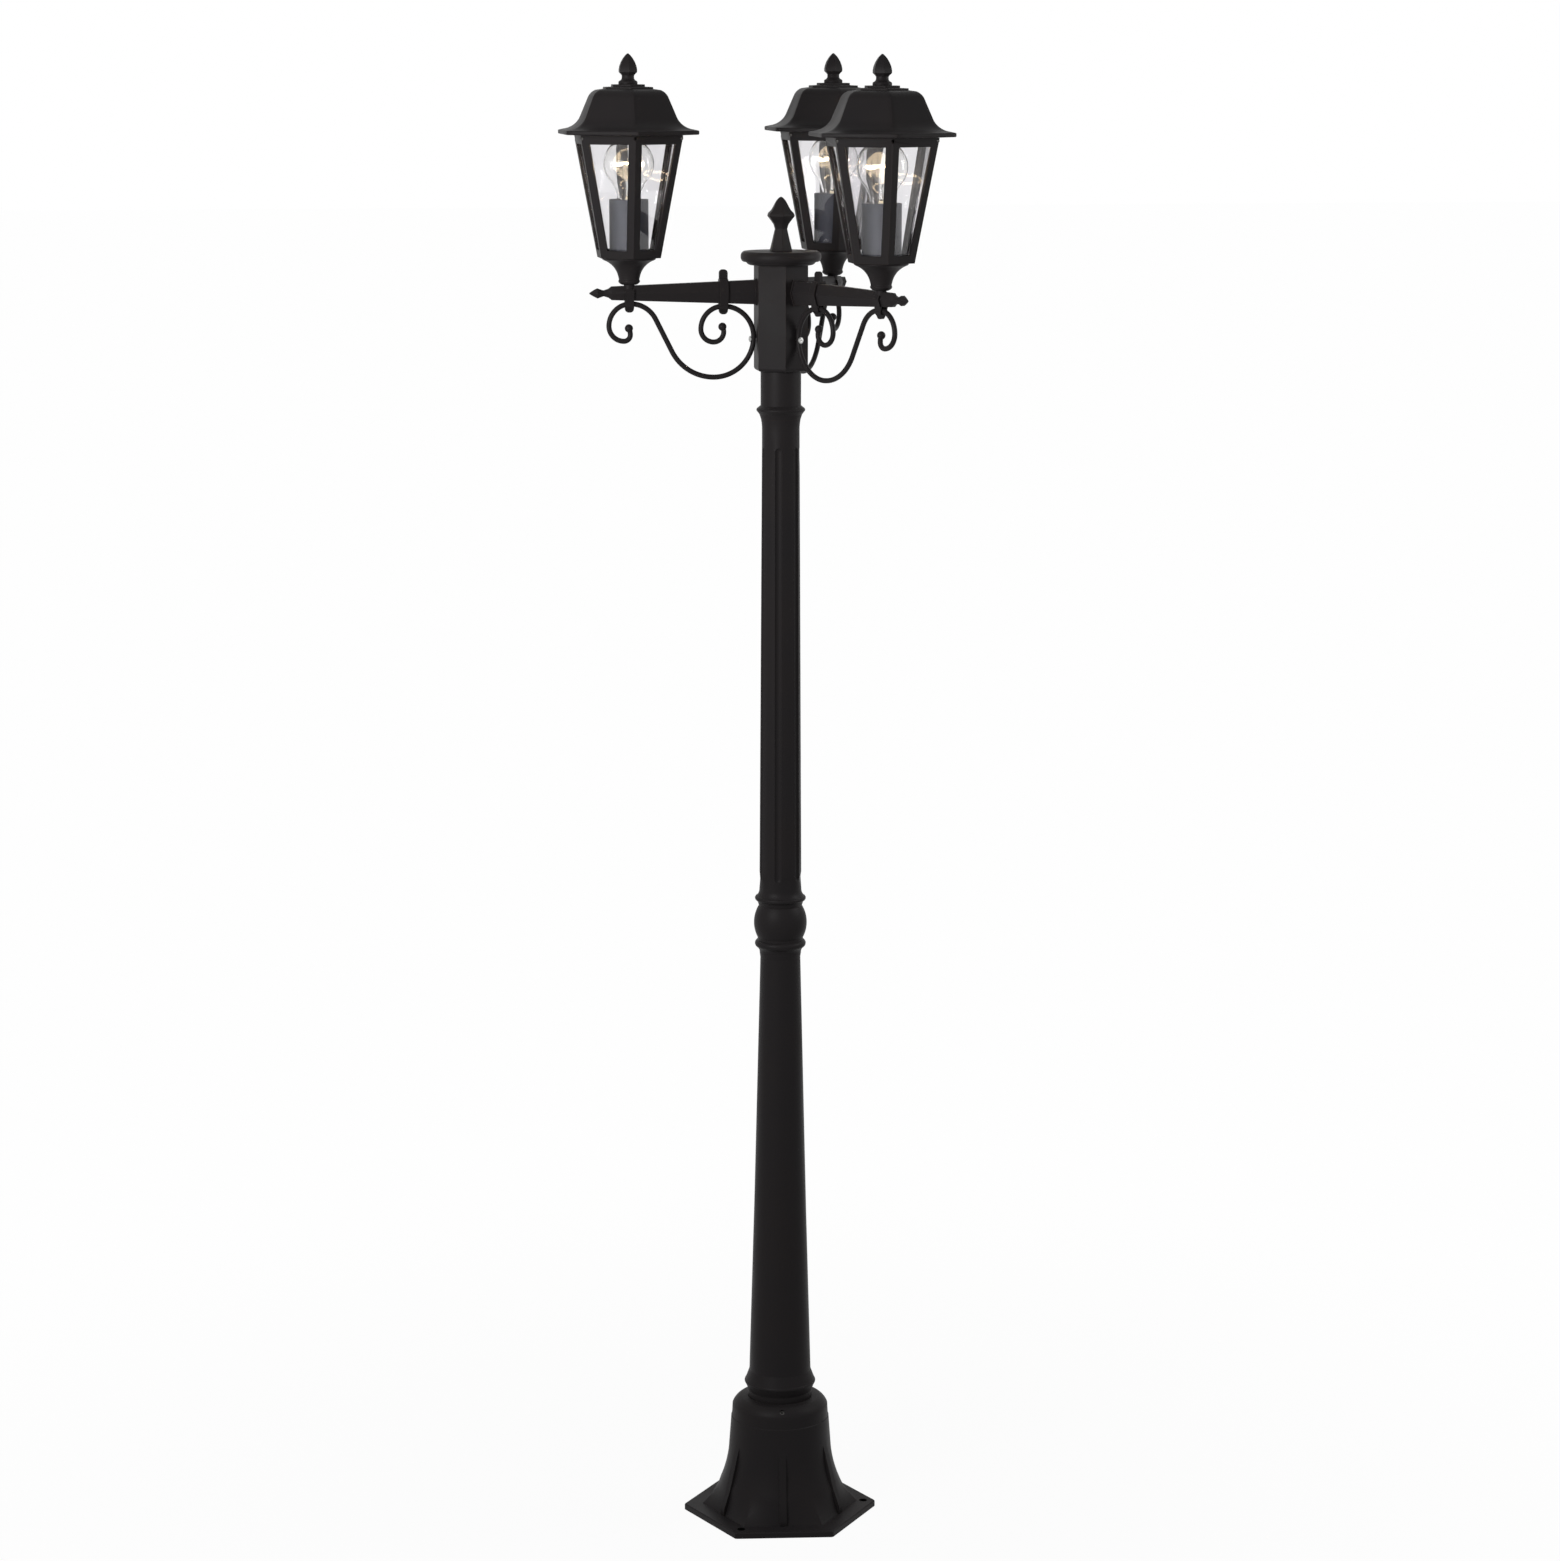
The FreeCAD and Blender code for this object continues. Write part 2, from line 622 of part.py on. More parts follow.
def hub():
    body = new_body("hub")
    block = extrude(body, lambda sketch: outline(sketch, hexagon("hub_corner")), "Pad",
                    "XY_Plane", "hub_low_z", "hub_top_z - hub_low_z")
    low = size("hub_low_z")
    soften(body, block, lambda edge: max(v.Z for v in edge.Vertexes) < low + 1, "hub_round")
    revolve(body, [
        ("0", "hub_low_z"), ("neck_tube + fit", "hub_low_z"), ("neck_tube + fit", "neck_top_z"),
        ("hub_bore", "neck_top_z"), ("hub_bore", "hub_top_z"), ("0", "hub_top_z")], "Groove")
    stud_hole = drill(body, ("0", "arm_z", "stud + fit"), "YZ_Plane", "0", "hub_corner")
    screw_hole = drill(body, ("0", "scroll_screw_z", "scroll_screw + thread_fit"),
                       "YZ_Plane", "0", "hub_corner")
    ring_of(body, [stud_hole, screw_hole], 3)
    turn(body, SIDES["back"])


def hub_cap():
    turned("hub_cap", [
        ("stud + thread_fit", "hub_top_z - cap_spigot"), ("hub_bore - fit", "hub_top_z - cap_spigot"),
        ("hub_bore - fit", "hub_top_z"), ("cap_step - 5.2", "hub_top_z", "6"),
        ("cap_step", "cap_step_z"), ("cap_disc - 2.6", "cap_step_z", "6.2"), ("cap_disc", "cap_mid_z", "6"),
        ("cap_disc - 3.4", "cap_top_z"), ("stud + thread_fit", "cap_top_z")])


def faceted(body, steps):
    """A hexagonal bud or spear through (corner radius, height) steps."""
    return loft(body, [(hexagon(corner), height) for corner, height in steps], "XY_Plane")


def hub_finial():
    body = new_body("hub_finial")
    peg(body, ("0", "0", "stud"), "XY_Plane", "cap_top_z - 14", "14")
    faceted(body, [
        ("14.6", "cap_top_z"), ("11.2", "cap_top_z + 13"), ("8", "cap_top_z + 26"),
        ("9.6", "cap_top_z + 31.4"), ("12.6", "cap_top_z + 35.4"), ("17.6", "cap_top_z + 41.4"),
        ("16.6", "cap_top_z + 44.6"), ("12.6", "cap_top_z + 48.4"), ("10.2", "cap_top_z + 52.2"),
        ("8.1", "cap_top_z + 56"), ("6", "cap_top_z + 59.4"), ("3.4", "cap_top_z + 62.2"),
        ("1", "cap_top_z + 63.8")])


def arm_section(half, wide, centre="arm_z"):
    """The arm's six-sided section with an arris along the middle of each side."""
    crown = times(wide, "arm_crown")
    return [("-" + wide, centre), (times(crown, "-1"), centre + " - " + half),
            (crown, centre + " - " + half), (wide, centre), (crown, centre + " + " + half),
            (times(crown, "-1"), centre + " + " + half)]


def arm(side):
    body = new_body("arm_" + side)
    pad(body, arm_section("arm_flange_half", "arm_flange_wide"), "YZ_Plane",
        "hub_corner * flat_ratio", "arm_root - hub_corner * flat_ratio")
    loft(body, [(arm_section("arm_root_half", "arm_root_wide"), "arm_root"),
                (arm_section("arm_end_half", "arm_end_wide"), "arm_end")], "YZ_Plane")
    spear = [("arm_end_half", "arm_end_wide", "0"), ("5.2", "4.4", "3.8"), ("3.5", "3.1", "9.2"),
             ("3.7", "3.3", "10.6"), ("5.9", "5", "16.9"), ("4.1", "3.6", "20.6"),
             ("2.2", "2", "24"), ("0.6", "0.6", "26.4")]
    loft(body, [(arm_section(half, wide), "arm_end + " + out) for half, wide, out in spear],
         "YZ_Plane")
    peg(body, ("0", "arm_z", "stud"), "YZ_Plane", "stud_in", "hub_corner * flat_ratio - stud_in")
    peg(body, ("reach", "0", "boss"), "XY_Plane", "arm_z", "seat_z - arm_z")
    drill(body, ("reach", "0", "stem + thread_fit"), "XY_Plane", "stem_low_z - fit", "20")
    turn(body, SIDES[side])


def arm_nuts():
    body = new_body("arm_nuts", 3)
    sketch = new_sketch(body, "YZ_Plane", "nut_in")
    outline(sketch, [(across, "arm_z + " + up if up != "0" else "arm_z")
                     for across, up in hexagon("nut_corner")])
    circle(sketch, "0", "arm_z", "stud + thread_fit")
    nut = body.newObject("PartDesign::Pad", "nut")
    nut.Profile = sketch
    bind(nut, "Length", "nut_thick")
    ring_of(body, [nut], 3)
    turn(body, SIDES["back"])


def stem_nuts():
    body = new_body("stem_nuts", 3)
    sketch = new_sketch(body, "XY_Plane", "frame_floor_z")
    outline(sketch, [(across + " + reach" if across != "0" else "reach", up)
                     for across, up in hexagon("stem_nut")])
    circle(sketch, "reach", "0", "stem + thread_fit")
    nut = body.newObject("PartDesign::Pad", "nut")
    nut.Profile = sketch
    bind(nut, "Length", "stem_nut_thick")
    ring_of(body, [nut], 3)
    turn(body, SIDES["back"])


def scroll_screws():
    body = new_body("scroll_screws", 3)
    seat = "hub_corner * flat_ratio + 2 * rod + 0.55"
    screw = revolve(body, [
        ("scroll_screw_in", "0"), (seat + " + scroll_head_high", "0", "dome"),
        (seat + " + 0.8", "scroll_head"), (seat, "scroll_head"), (seat, "scroll_screw"),
        ("scroll_screw_in", "scroll_screw")], axis="H_Axis", shift=("0", "scroll_screw_z", "0"))
    ring_of(body, [screw], 3)
    turn(body, SIDES["back"])


def scroll_bends():
    """The rod from its inner ball to its outer one as (radius, turn) or (run, 0).

    The rising S starts at the curl's lowest point and is level again under the lantern.
    """
    across = size("reach") - size("crest_in") - size("scroll_start") - sum(CURL[:2] + CURL[4:]) \
        + sum(CURL[2:4])
    rise = size("outer_rod_z") + 0.25 - size("scroll_start_z") + CURL[0] - sum(CURL[1:3]) \
        + sum(CURL[3:])
    low, high = size("sweep_low") * across, size("sweep_high") * across
    lift = rise - low - high
    run = math.sqrt(across ** 2 + lift ** 2 - (low + high) ** 2)
    bend = math.degrees(math.atan2(lift, across) + math.atan2(low + high, run))
    curl = [(radius, 90) for radius in CURL]
    hook = [(radius, -90) for radius in HOOK]
    return [CURL_END] + curl + [(low, bend), (run, 0), (high, -bend)] + hook \
        + [(HOOK_END[0], -HOOK_END[1])]


def scroll_path():
    """Tangent arcs in the arm's upright plane, from the rod's inner end."""
    radius, turn = CURL_END[0], math.radians(CURL_END[1])
    spot = Vector(size("scroll_start") + radius * (1 - math.cos(turn)), 0,
                  size("scroll_start_z") + radius * math.sin(turn))
    heading = math.radians(-90) - turn
    edges = []
    for length, bend in scroll_bends():
        ahead = Vector(math.cos(heading), 0, math.sin(heading))
        if bend == 0:
            end = spot + ahead * length
            edges.append(Part.makeLine(spot, end))
        else:
            left = Vector(-ahead.z, 0, ahead.x) * math.copysign(length, bend)
            centre = spot + left
            half, full = (Rotation(Vector(0, -1, 0), bend * share) for share in (0.5, 1))
            middle = centre - half.multVec(left)
            end = centre - full.multVec(left)
            edges.append(Part.Arc(spot, middle, end).toShape())
            heading += math.radians(bend)
        spot = end
    return Part.Wire(edges)


def scroll(side):
    """A bent rod with a ball at each end, drilled where it is screwed to the hub."""
    path = scroll_path()
    start = path.OrderedVertexes[0].Point
    finish = path.OrderedVertexes[-1].Point
    lean = math.radians(CURL_END[1])
    section = Part.Wire(Part.makeCircle(size("rod"), start, Vector(math.sin(lean), 0, math.cos(lean))))
    rod = path.makePipeShell([section], True, False)
    balls = [Part.makeSphere(size("rod_ball"), spot) for spot in (start, finish)]
    hole = Part.makeCylinder(size("scroll_screw") + size("thread_fit"), 20,
                             Vector(size("hub_corner") * size("flat_ratio") - 5, 0,
                                    size("scroll_screw_z")), Vector(1, 0, 0))
    feature = doc.addObject("Part::Feature", "scroll_" + side)
    feature.Label = "scroll_" + side
    feature.Shape = rod.fuse(balls).cut(hole).removeSplitter()
    feature.Placement = Placement(Vector(), Rotation(Vector(0, 0, 1), SIDES[side]))
    nodes.append((feature, 1))


def arm_ring(lift, edge="0"):
    """The tapered arm's section at one distance from the post, a fit and an edge wider."""
    share = (number(lift) - size("arm_root")) / (size("arm_end") - size("arm_root"))
    half = "%.4f * arm_root_half + %.4f * arm_end_half + fit" % (1 - share, share)
    wide = "%.4f * arm_root_wide + %.4f * arm_end_wide + fit" % (1 - share, share)
    crown = times(wide, "arm_crown") + " + " + times(edge, "0.6")
    out = wide + " + " + edge
    low = times(half + " + " + edge, "-1") + " + arm_z"
    high = half + " + " + edge + " + arm_z"
    return [(times(out, "-1"), "arm_z"), (times(crown, "-1"), low), (crown, low), (out, "arm_z"),
            (crown, high), (times(crown, "-1"), high)]


def strap(label, side, centre, rod_z, tab_low, tab_top=None, open_top=None):
    """A pressed strap round the arm and the scroll rod, its two halves meeting in tabs."""
    body = new_body(label)
    near = centre + " - 0.5 * strap_wide"
    far = centre + " + 0.5 * strap_wide"
    pad(body, arm_ring(near, "strap"), "YZ_Plane", near, "strap_wide")
    pad(body, [("-rod - strap", rod_z + " - rod"), ("-tab", rod_z + " - rod - 1.6 * strap"),
               ("-tab", tab_low), ("tab", tab_low), ("tab", rod_z + " - rod - 1.6 * strap"),
               ("rod + strap", rod_z + " - rod"), ("rod + strap", "arm_z"),
               ("-rod - strap", "arm_z")], "YZ_Plane", near, "strap_wide")
    if tab_top:
        pad(body, rectangle("-tab", "tab", "arm_z", tab_top), "YZ_Plane", near, "strap_wide")
    if open_top:
        pocket(body, rectangle("-30", "30", open_top, "arm_z + 40"), "YZ_Plane", near, "strap_wide")
    loft(body, [(arm_ring(near), near), (arm_ring(far), far)], "YZ_Plane", "SubtractiveLoft")
    if open_top:
        drill(body, (centre, "0", "boss + fit"), "XY_Plane", "arm_z", "20")
    cut = pocket(body, rectangle("-rod - fit", "rod + fit", rod_z + " - rod - 0.75", "arm_z"),
                 "YZ_Plane", near, "strap_wide")
    ends = [number(tab_low)] + ([number(tab_top)] if tab_top else [])
    soften(body, cut, lambda edge: abs(edge.Vertexes[0].Y - edge.Vertexes[-1].Y) > 3
           and any(abs(edge.CenterOfMass.z - z) < 0.01 for z in ends), "tab_round")
    turn(body, SIDES[side])


def cup(side):
    turned("cup_" + side, [
        ("stem + thread_fit", "seat_z"), ("cup_foot", "seat_z"), ("cup_foot + 2.2", "seat_z + 1"),
        ("cup_lip", "cup_lip_z - 0.6", "2.2"), ("cup_lip", "cup_lip_z + 2.2"),
        ("cup_lip - 0.2", "cup_lip_z + 3.2"), ("cup_lip + 0.5", "cup_neck_z", "-26"),
        ("cup_brow", "cup_brow_z"), ("cup_flange", "cup_brow_z + 1.2"), ("cup_flange", "cup_top_z"),
        ("cup_brow - 3", "cup_top_z"), ("cup_brow - 5.4", "cup_brow_z + 0.6", "19"),
        ("cup_well", "cup_neck_z + 3"), ("cup_well", "cup_floor_z"),
        ("stem + thread_fit", "cup_floor_z")], side)


def frame(side):
    body = new_body("frame_" + side)
    loft(body, [(hexagon("frame_low_corner"), "cup_top_z"),
                (hexagon("frame_top_corner"), "frame_top_z")], "XY_Plane")
    slope = (size("frame_top_corner") - size("frame_low_corner")) \
        / (size("frame_top_z") - size("cup_top_z"))
    rise = "%.5f * frame_floor_z - %.5f * cup_top_z" % (slope, slope)
    loft(body, [(hexagon("frame_low_corner - 1.1547 * frame_wall + " + rise), "frame_floor_z"),
                (hexagon("frame_top_corner - 1.1547 * frame_wall"), "frame_top_z")],
         "XY_Plane", "SubtractiveLoft")
    window = pocket(body, [("-window_low_half", "window_low_z"), ("window_low_half", "window_low_z"),
                           ("window_top_half", "window_top_z"), ("-window_top_half", "window_top_z")],
                    "YZ_Plane", "0", "frame_top_corner")
    ring_of(body, [window], 6)
    drill(body, ("0", "0", "stem + thread_fit"), "XY_Plane", "cup_top_z", "4")
    screw = revolve(body, [
        ("roof_screw_tip - 4", "0"), ("roof_screw_seat + 6", "0"),
        ("roof_screw_seat + 6", "roof_screw_head + thread_fit"),
        ("roof_screw_seat", "roof_screw_head + thread_fit"),
        ("roof_screw_seat", "roof_screw + thread_fit"),
        ("roof_screw_tip - 4", "roof_screw + thread_fit")],
        "Groove", "YZ_Plane", "H_Axis", ("0", "roof_screw_z", "0"))
    ring_of(body, [screw], 3)
    turn(body, SIDES[side], "reach")


def roof_screws(side):
    body = new_body("roof_screws_" + side, 3)
    screw = revolve(body, [
        ("roof_screw_tip", "0"), ("roof_screw_seat + 1.9", "0", "dome"),
        ("roof_screw_seat + 0.7", "roof_screw_head"), ("roof_screw_seat", "roof_screw_head"),
        ("roof_screw_seat", "roof_screw"), ("roof_screw_tip", "roof_screw")],
        "Revolution", "YZ_Plane", "H_Axis", ("0", "roof_screw_z", "0"))
    ring_of(body, [screw], 3)
    turn(body, SIDES[side], "reach")


def glass(side):
    body = new_body("glass_" + side, 6)
    pane = loft(body, [
        (rectangle("pane_low_out - pane_thick", "pane_low_out", "-pane_low_half", "pane_low_half"),
         "pane_low_z"),
        (rectangle("pane_top_out - pane_thick", "pane_top_out", "-pane_top_half", "pane_top_half"),
         "pane_top_z")], "XY_Plane")
    ring_of(body, [pane], 6)
    turn(body, SIDES[side], "reach")


def roof(side):
    """An ogee profile carried round a hexagon, its corners mitred, and closed at the top."""
    body = new_body("roof_" + side)
    spine = new_sketch(body, "XY_Plane", "roof_seat_z")
    flat, half = "skirt_out", "0.57735 * skirt_out"
    outline(spine, [(flat, "0"), (flat, half), ("0", "2 * " + half), ("-" + flat, half),
                    ("-" + flat, "-" + half), ("0", "-2 * " + half), (flat, "-" + half)])
    profile = new_sketch(body, "XZ_Plane")
    outline(profile, [
        ("brim", "brim_low_z"), ("brim", "brim_top_z"), ("brow", "brow_z", "-23"),
        ("waist", "waist_z"), ("shoulder", "shoulder_z", "15.6"), ("crown", "crown_z"),
        ("step_one", "step_one_z - 2.2"), ("step_one", "step_one_z"), ("step_two", "step_one_z + 0.4"),
        ("step_two", "roof_top_z"), ("roof_hole", "roof_top_z"), ("roof_hole", "roof_under_z"),
        ("crown - 1.1", "crown_z - 2.5", "-13.1"), ("shoulder - 2.4", "shoulder_z - 0.9"),
        ("waist - 2.4", "waist_z - 0.9"), ("skirt_in", "brow_z + 5"), ("skirt_in", "skirt_low_z"),
        ("skirt_out", "skirt_low_z"), ("skirt_out", "roof_seat_z"), ("roof_seat_out", "roof_seat_z")])
    shell = body.newObject("PartDesign::AdditivePipe", "shell")
    shell.Profile = profile
    shell.Spine = spine
    shell.Transition = "Right corner"
    pad(body, hexagon("1.1547 * roof_hole + 1"), "XY_Plane", "roof_under_z", "roof_top_z - roof_under_z")
    drill(body, ("0", "0", "roof_stud + thread_fit"), "XY_Plane", "roof_under_z - 1", "12")
    turn(body, SIDES[side], "reach")


def roof_finial(side):
    body = new_body("roof_finial_" + side)
    revolve(body, [
        ("0", "roof_under_z - 4"), ("roof_stud", "roof_under_z - 4"), ("roof_stud", "roof_top_z"),
        ("11.2", "roof_top_z"), ("11.2", "roof_top_z + 2.6", "2"), ("9.8", "roof_top_z + 4.2", "-4.5"),
        ("7.3", "roof_top_z + 7"), ("7.2", "roof_top_z + 10.4"), ("0", "roof_top_z + 10.4")])
    faceted(body, [
        ("7.4", "roof_top_z + 9.6"), ("9", "roof_top_z + 11.6"), ("11.7", "roof_top_z + 14"),
        ("11.8", "roof_top_z + 17"), ("10.9", "roof_top_z + 21.2"), ("9", "roof_top_z + 25.8"),
        ("6.1", "roof_top_z + 30.4"), ("3.4", "roof_top_z + 33.4"), ("0.8", "roof_top_z + 35.6")])
    turn(body, SIDES[side], "reach")


def lamp(side):
    """The lampholder with its sleeve, and the bulb's cap, glass mount and envelope."""
    turned("lampholder_" + side, [
        ("holder_well", "frame_floor_z"), ("holder_flange", "frame_floor_z"),
        ("holder_flange", "frame_floor_z + holder_flange_high"),
        ("holder", "frame_floor_z + holder_flange_high"), ("holder", "holder_top_z"),
        ("holder_bore", "holder_top_z"), ("holder_bore", "holder_contact_z + 5"),
        ("stem_bore + 4.5", "holder_contact_z"), ("stem_bore", "holder_contact_z"),
        ("stem_bore", "holder_well_z"), ("holder_well", "holder_well_z")], side)
    turned("sleeve_" + side, rectangle(
        "sleeve - sleeve_wall", "sleeve", "frame_floor_z", "sleeve_top_z"), side)
    turned("bulb_cap_" + side, [
        ("0", "bulb_cap_low_z"), ("4.2", "bulb_cap_low_z"), ("6.4", "bulb_cap_low_z + 2.6"),
        ("bulb_cap - 1", "bulb_cap_low_z + 5.6"), ("bulb_cap", "bulb_cap_low_z + 6.6"),
        ("bulb_cap", "bulb_cap_top_z"), ("bulb_cap - bulb_cap_wall", "bulb_cap_top_z"),
        ("bulb_cap - bulb_cap_wall", "bulb_cap_low_z + 7.6"), ("0", "bulb_cap_low_z + 6")], side)
    turned("bulb_glass_" + side, [
        ("bulb_neck", "bulb_neck_low_z"), ("bulb_neck", "bulb_neck_z", "-bulb_flank"),
        ("bulb_touch", "bulb_touch_z", "dome"), ("0", "bulb_top_z"),
        ("0", "bulb_top_z - bulb_glass", "dome"),
        ("bulb_inner_touch", "bulb_inner_touch_z", "bulb_flank + bulb_glass"),
        ("bulb_neck - bulb_glass", "bulb_neck_z"), ("bulb_neck - bulb_glass", "bulb_neck_low_z")],
        side)
    turned("bulb_mount_" + side, [
        ("0", "bulb_neck_low_z + 1"), ("bulb_neck - bulb_glass - fit", "bulb_neck_low_z + 1"),
        ("bulb_neck - bulb_glass - fit", "bulb_neck_low_z + 2"), ("5", "bulb_neck_z + 2"),
        ("3", "bulb_neck_z + 9"), ("2.6", "bulb_neck_z + 22"), ("3.4", "bulb_neck_z + 24"),
        ("2.4", "bulb_neck_z + 26.4"), ("0", "bulb_neck_z + 26.4")], side)


def check_and_write():
    doc.recompute()
    for thing in doc.Objects:
        if "Invalid" in thing.State or "Error" in thing.State:
            raise RuntimeError("%s of %s failed" % (thing.Name, [p.Label for p in thing.InList]))
    os.makedirs("parts", exist_ok=True)
    for thing, solids in nodes:
        shape = thing.Shape
        if shape.isNull() or not shape.isValid() or len(shape.Solids) != solids:
            raise RuntimeError("%s has %d solids" % (thing.Label, len(shape.Solids)))
        shape.exportStep("parts/%s.step" % thing.Label)
        print("%-22s %9.2f cm3" % (thing.Label, shape.Volume / 1000))


base_casting()
base_set_screws()
posts()
hub()
hub_cap()
hub_finial()
arm_nuts()
scroll_screws()
stem_nuts()
for name in SIDES:
    arm(name)
    scroll(name)
    strap("inner_clamp_" + name, name, "inner_clamp", "inner_rod_z", "inner_tab_low",
          tab_top="inner_tab_top")
    strap("outer_clamp_" + name, name, "reach", "outer_rod_z", "outer_tab_low",
          open_top="outer_strap_top")
    turned("stem_" + name, rectangle("stem_bore", "stem", "stem_low_z", "stem_top_z"), name)
    cup(name)
    frame(name)
    roof_screws(name)
    glass(name)
    roof(name)
    roof_finial(name)
    lamp(name)
check_and_write()
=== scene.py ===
import json
import math
from functools import partial

import bmesh
import bpy
from bpy.props import FloatProperty, FloatVectorProperty, IntProperty, PointerProperty
from mathutils import Euler, Matrix, Vector

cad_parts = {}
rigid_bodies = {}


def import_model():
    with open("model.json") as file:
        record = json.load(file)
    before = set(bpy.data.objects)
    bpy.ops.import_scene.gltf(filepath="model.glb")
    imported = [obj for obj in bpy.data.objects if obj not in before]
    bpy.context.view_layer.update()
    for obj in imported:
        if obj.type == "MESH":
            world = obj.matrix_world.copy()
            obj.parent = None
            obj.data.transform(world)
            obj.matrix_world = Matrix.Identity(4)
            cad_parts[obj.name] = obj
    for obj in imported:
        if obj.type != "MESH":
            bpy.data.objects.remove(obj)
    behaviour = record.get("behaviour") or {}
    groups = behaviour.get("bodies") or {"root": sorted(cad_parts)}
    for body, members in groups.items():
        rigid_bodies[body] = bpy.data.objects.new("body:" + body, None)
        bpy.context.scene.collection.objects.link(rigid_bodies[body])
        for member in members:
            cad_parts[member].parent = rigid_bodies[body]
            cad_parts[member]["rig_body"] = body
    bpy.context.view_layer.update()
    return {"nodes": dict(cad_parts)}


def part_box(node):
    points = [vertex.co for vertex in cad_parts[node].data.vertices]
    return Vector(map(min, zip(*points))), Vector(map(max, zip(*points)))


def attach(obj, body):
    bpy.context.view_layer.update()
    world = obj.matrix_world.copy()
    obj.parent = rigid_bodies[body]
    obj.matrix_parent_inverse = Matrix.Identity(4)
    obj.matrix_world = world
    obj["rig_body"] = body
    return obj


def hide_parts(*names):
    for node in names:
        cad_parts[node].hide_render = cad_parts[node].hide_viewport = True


bl_info = {
    "name": "Three-lantern garden post",
    "version": (1, 0, 0),
    "blender": (4, 5, 0),
    "location": "View3D > Sidebar > Lantern post",
    "description": "Finishes, roofs, scrolls, screws, panes and lit lamps for a cast garden post",
    "category": "Add Mesh",
}

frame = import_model()
MM = 0.001
SIDES = ("left", "front", "back")
SIDE_ANGLES = {"left": 180, "front": -60, "back": 60}

# Points closer than this, in metres, are one.
SAME_POINT = 2e-6

# The base plate's bolt holes: radius of their ring, radius that the painted shade fills, angles,
# and the painted shade's colour.
BOLT_RING = 0.105
BOLT_HOLE = 0.005
BOLT_ANGLES = (-6.5, 113.5, 233.5)
BOLT_PAINTED_SHADE = (0.002, 0.002, 0.002)

# The coat's clouds, as a share of brown and a swing in roughness, and its specular level.
CLOUD_TINT = 0.18
CLOUD_DULL = 0.12
COAT_SHINE = 0.055

# The photograph's size in pixels and the camera that was fitted to it.
PHOTO_HEIGHT = 1561
FOCAL_PIXELS = 3920
CAMERA_PLACE = (-0.7735, -4.6187, 1.810)
CAMERA_TURN = (79.37, 0.0, -9.5)
CAMERA_ROLL = 0.05


# ---------------------------------------------------------------- settings

class PaintSettings(bpy.types.PropertyGroup):
    """The black coat on the castings and on the bent rods."""
    coat: FloatVectorProperty(
        name="Coat", description="Colour of the powder coat", subtype="COLOR", size=3,
        min=0.0, max=1.0, default=(0.0168, 0.0152, 0.0160))
    # The rubbed colour is browner and lighter than the coat: rubbed wear, and also a painted
    # highlight along edges.
    rubbed_highlight: FloatVectorProperty(
        name="Rubbed edge", description="Browner colour where edges are rubbed", subtype="COLOR",
        size=3, min=0.0, max=1.0, default=(0.036, 0.026, 0.021))
    sheen: FloatProperty(
        name="Roughness", description="Roughness of the coat on the castings", subtype="FACTOR",
        min=0.0, max=1.0, default=0.46)
    rod_sheen: FloatProperty(
        name="Rod roughness", description="Roughness of the coat on rods and straps",
        subtype="FACTOR", min=0.0, max=1.0, default=0.38)
    peel: FloatProperty(
        name="Peel", description="Width of the coat's orange peel", subtype="DISTANCE",
        unit="LENGTH", min=0.0001, default=0.0011)
    arris: FloatProperty(
        name="Arris", description="Width of the rounded edge on a casting", subtype="DISTANCE",
        unit="LENGTH", min=0.0, default=0.0007)


class RoofSettings(bpy.types.PropertyGroup):
    """The hexagonal roofs and finials."""
    columns: IntProperty(
        name="Columns", description="Faces round a hexagonal shell", min=12, default=144)
    corner_cut: FloatProperty(
        name="Corner cut", description="Share by which the mitred corners are rounded off",
        subtype="FACTOR", min=0.0, max=0.1, default=0.008)


class RodSettings(bpy.types.PropertyGroup):
    """The wrought scrolls."""
    thick: FloatProperty(
        name="Rod", description="Diameter of the rod", subtype="DISTANCE", unit="LENGTH",
        min=0.001, default=0.0062)
    ball: FloatProperty(
        name="Ball", description="Diameter of the balls at the rod's ends", subtype="DISTANCE",
        unit="LENGTH", min=0.001, default=0.0099)


class LampSettings(bpy.types.PropertyGroup):
    """The lit lamps."""
    filament_reach: FloatProperty(
        name="Filament reach", description="Radius of the arc that the filament hangs on",
        subtype="DISTANCE", unit="LENGTH", min=0.002, default=0.0165)
    filament_turns: IntProperty(
        name="Turns", description="Turns of the filament's coil", min=4, default=42)
    filament_coil: FloatProperty(
        name="Coil", description="Radius of the filament's coil", subtype="DISTANCE",
        unit="LENGTH", min=0.0001, default=0.0013)
    filament_wire: FloatProperty(
        name="Wire", description="Radius of the filament's wire", subtype="DISTANCE",
        unit="LENGTH", min=0.00005, default=0.00042)
    glow: FloatProperty(
        name="Glow", description="Strength of the filament's light", min=0.0, default=70.0)
    glow_colour: FloatVectorProperty(
        name="Glow colour", description="Colour of the lit filament", subtype="COLOR", size=3,
        min=0.0, max=1.0, default=(1.0, 0.79, 0.52))


class StageSettings(bpy.types.PropertyGroup):
    """Floor, sky and lights."""
    level: FloatProperty(
        name="Level", description="Strength of the even light from all round", min=0.0,
        default=0.1)
    key: FloatProperty(
        name="Key", description="Power of the soft light on the left", subtype="POWER",
        unit="POWER", min=0.0, default=26.0)
    fill: FloatProperty(
        name="Fill", description="Power of the soft light on the right", subtype="POWER",
        unit="POWER", min=0.0, default=13.0)
    floor: FloatVectorProperty(
        name="Floor", description="Colour of the floor", subtype="COLOR", size=3, min=0.0,
        max=1.0, default=(0.74, 0.74, 0.74))


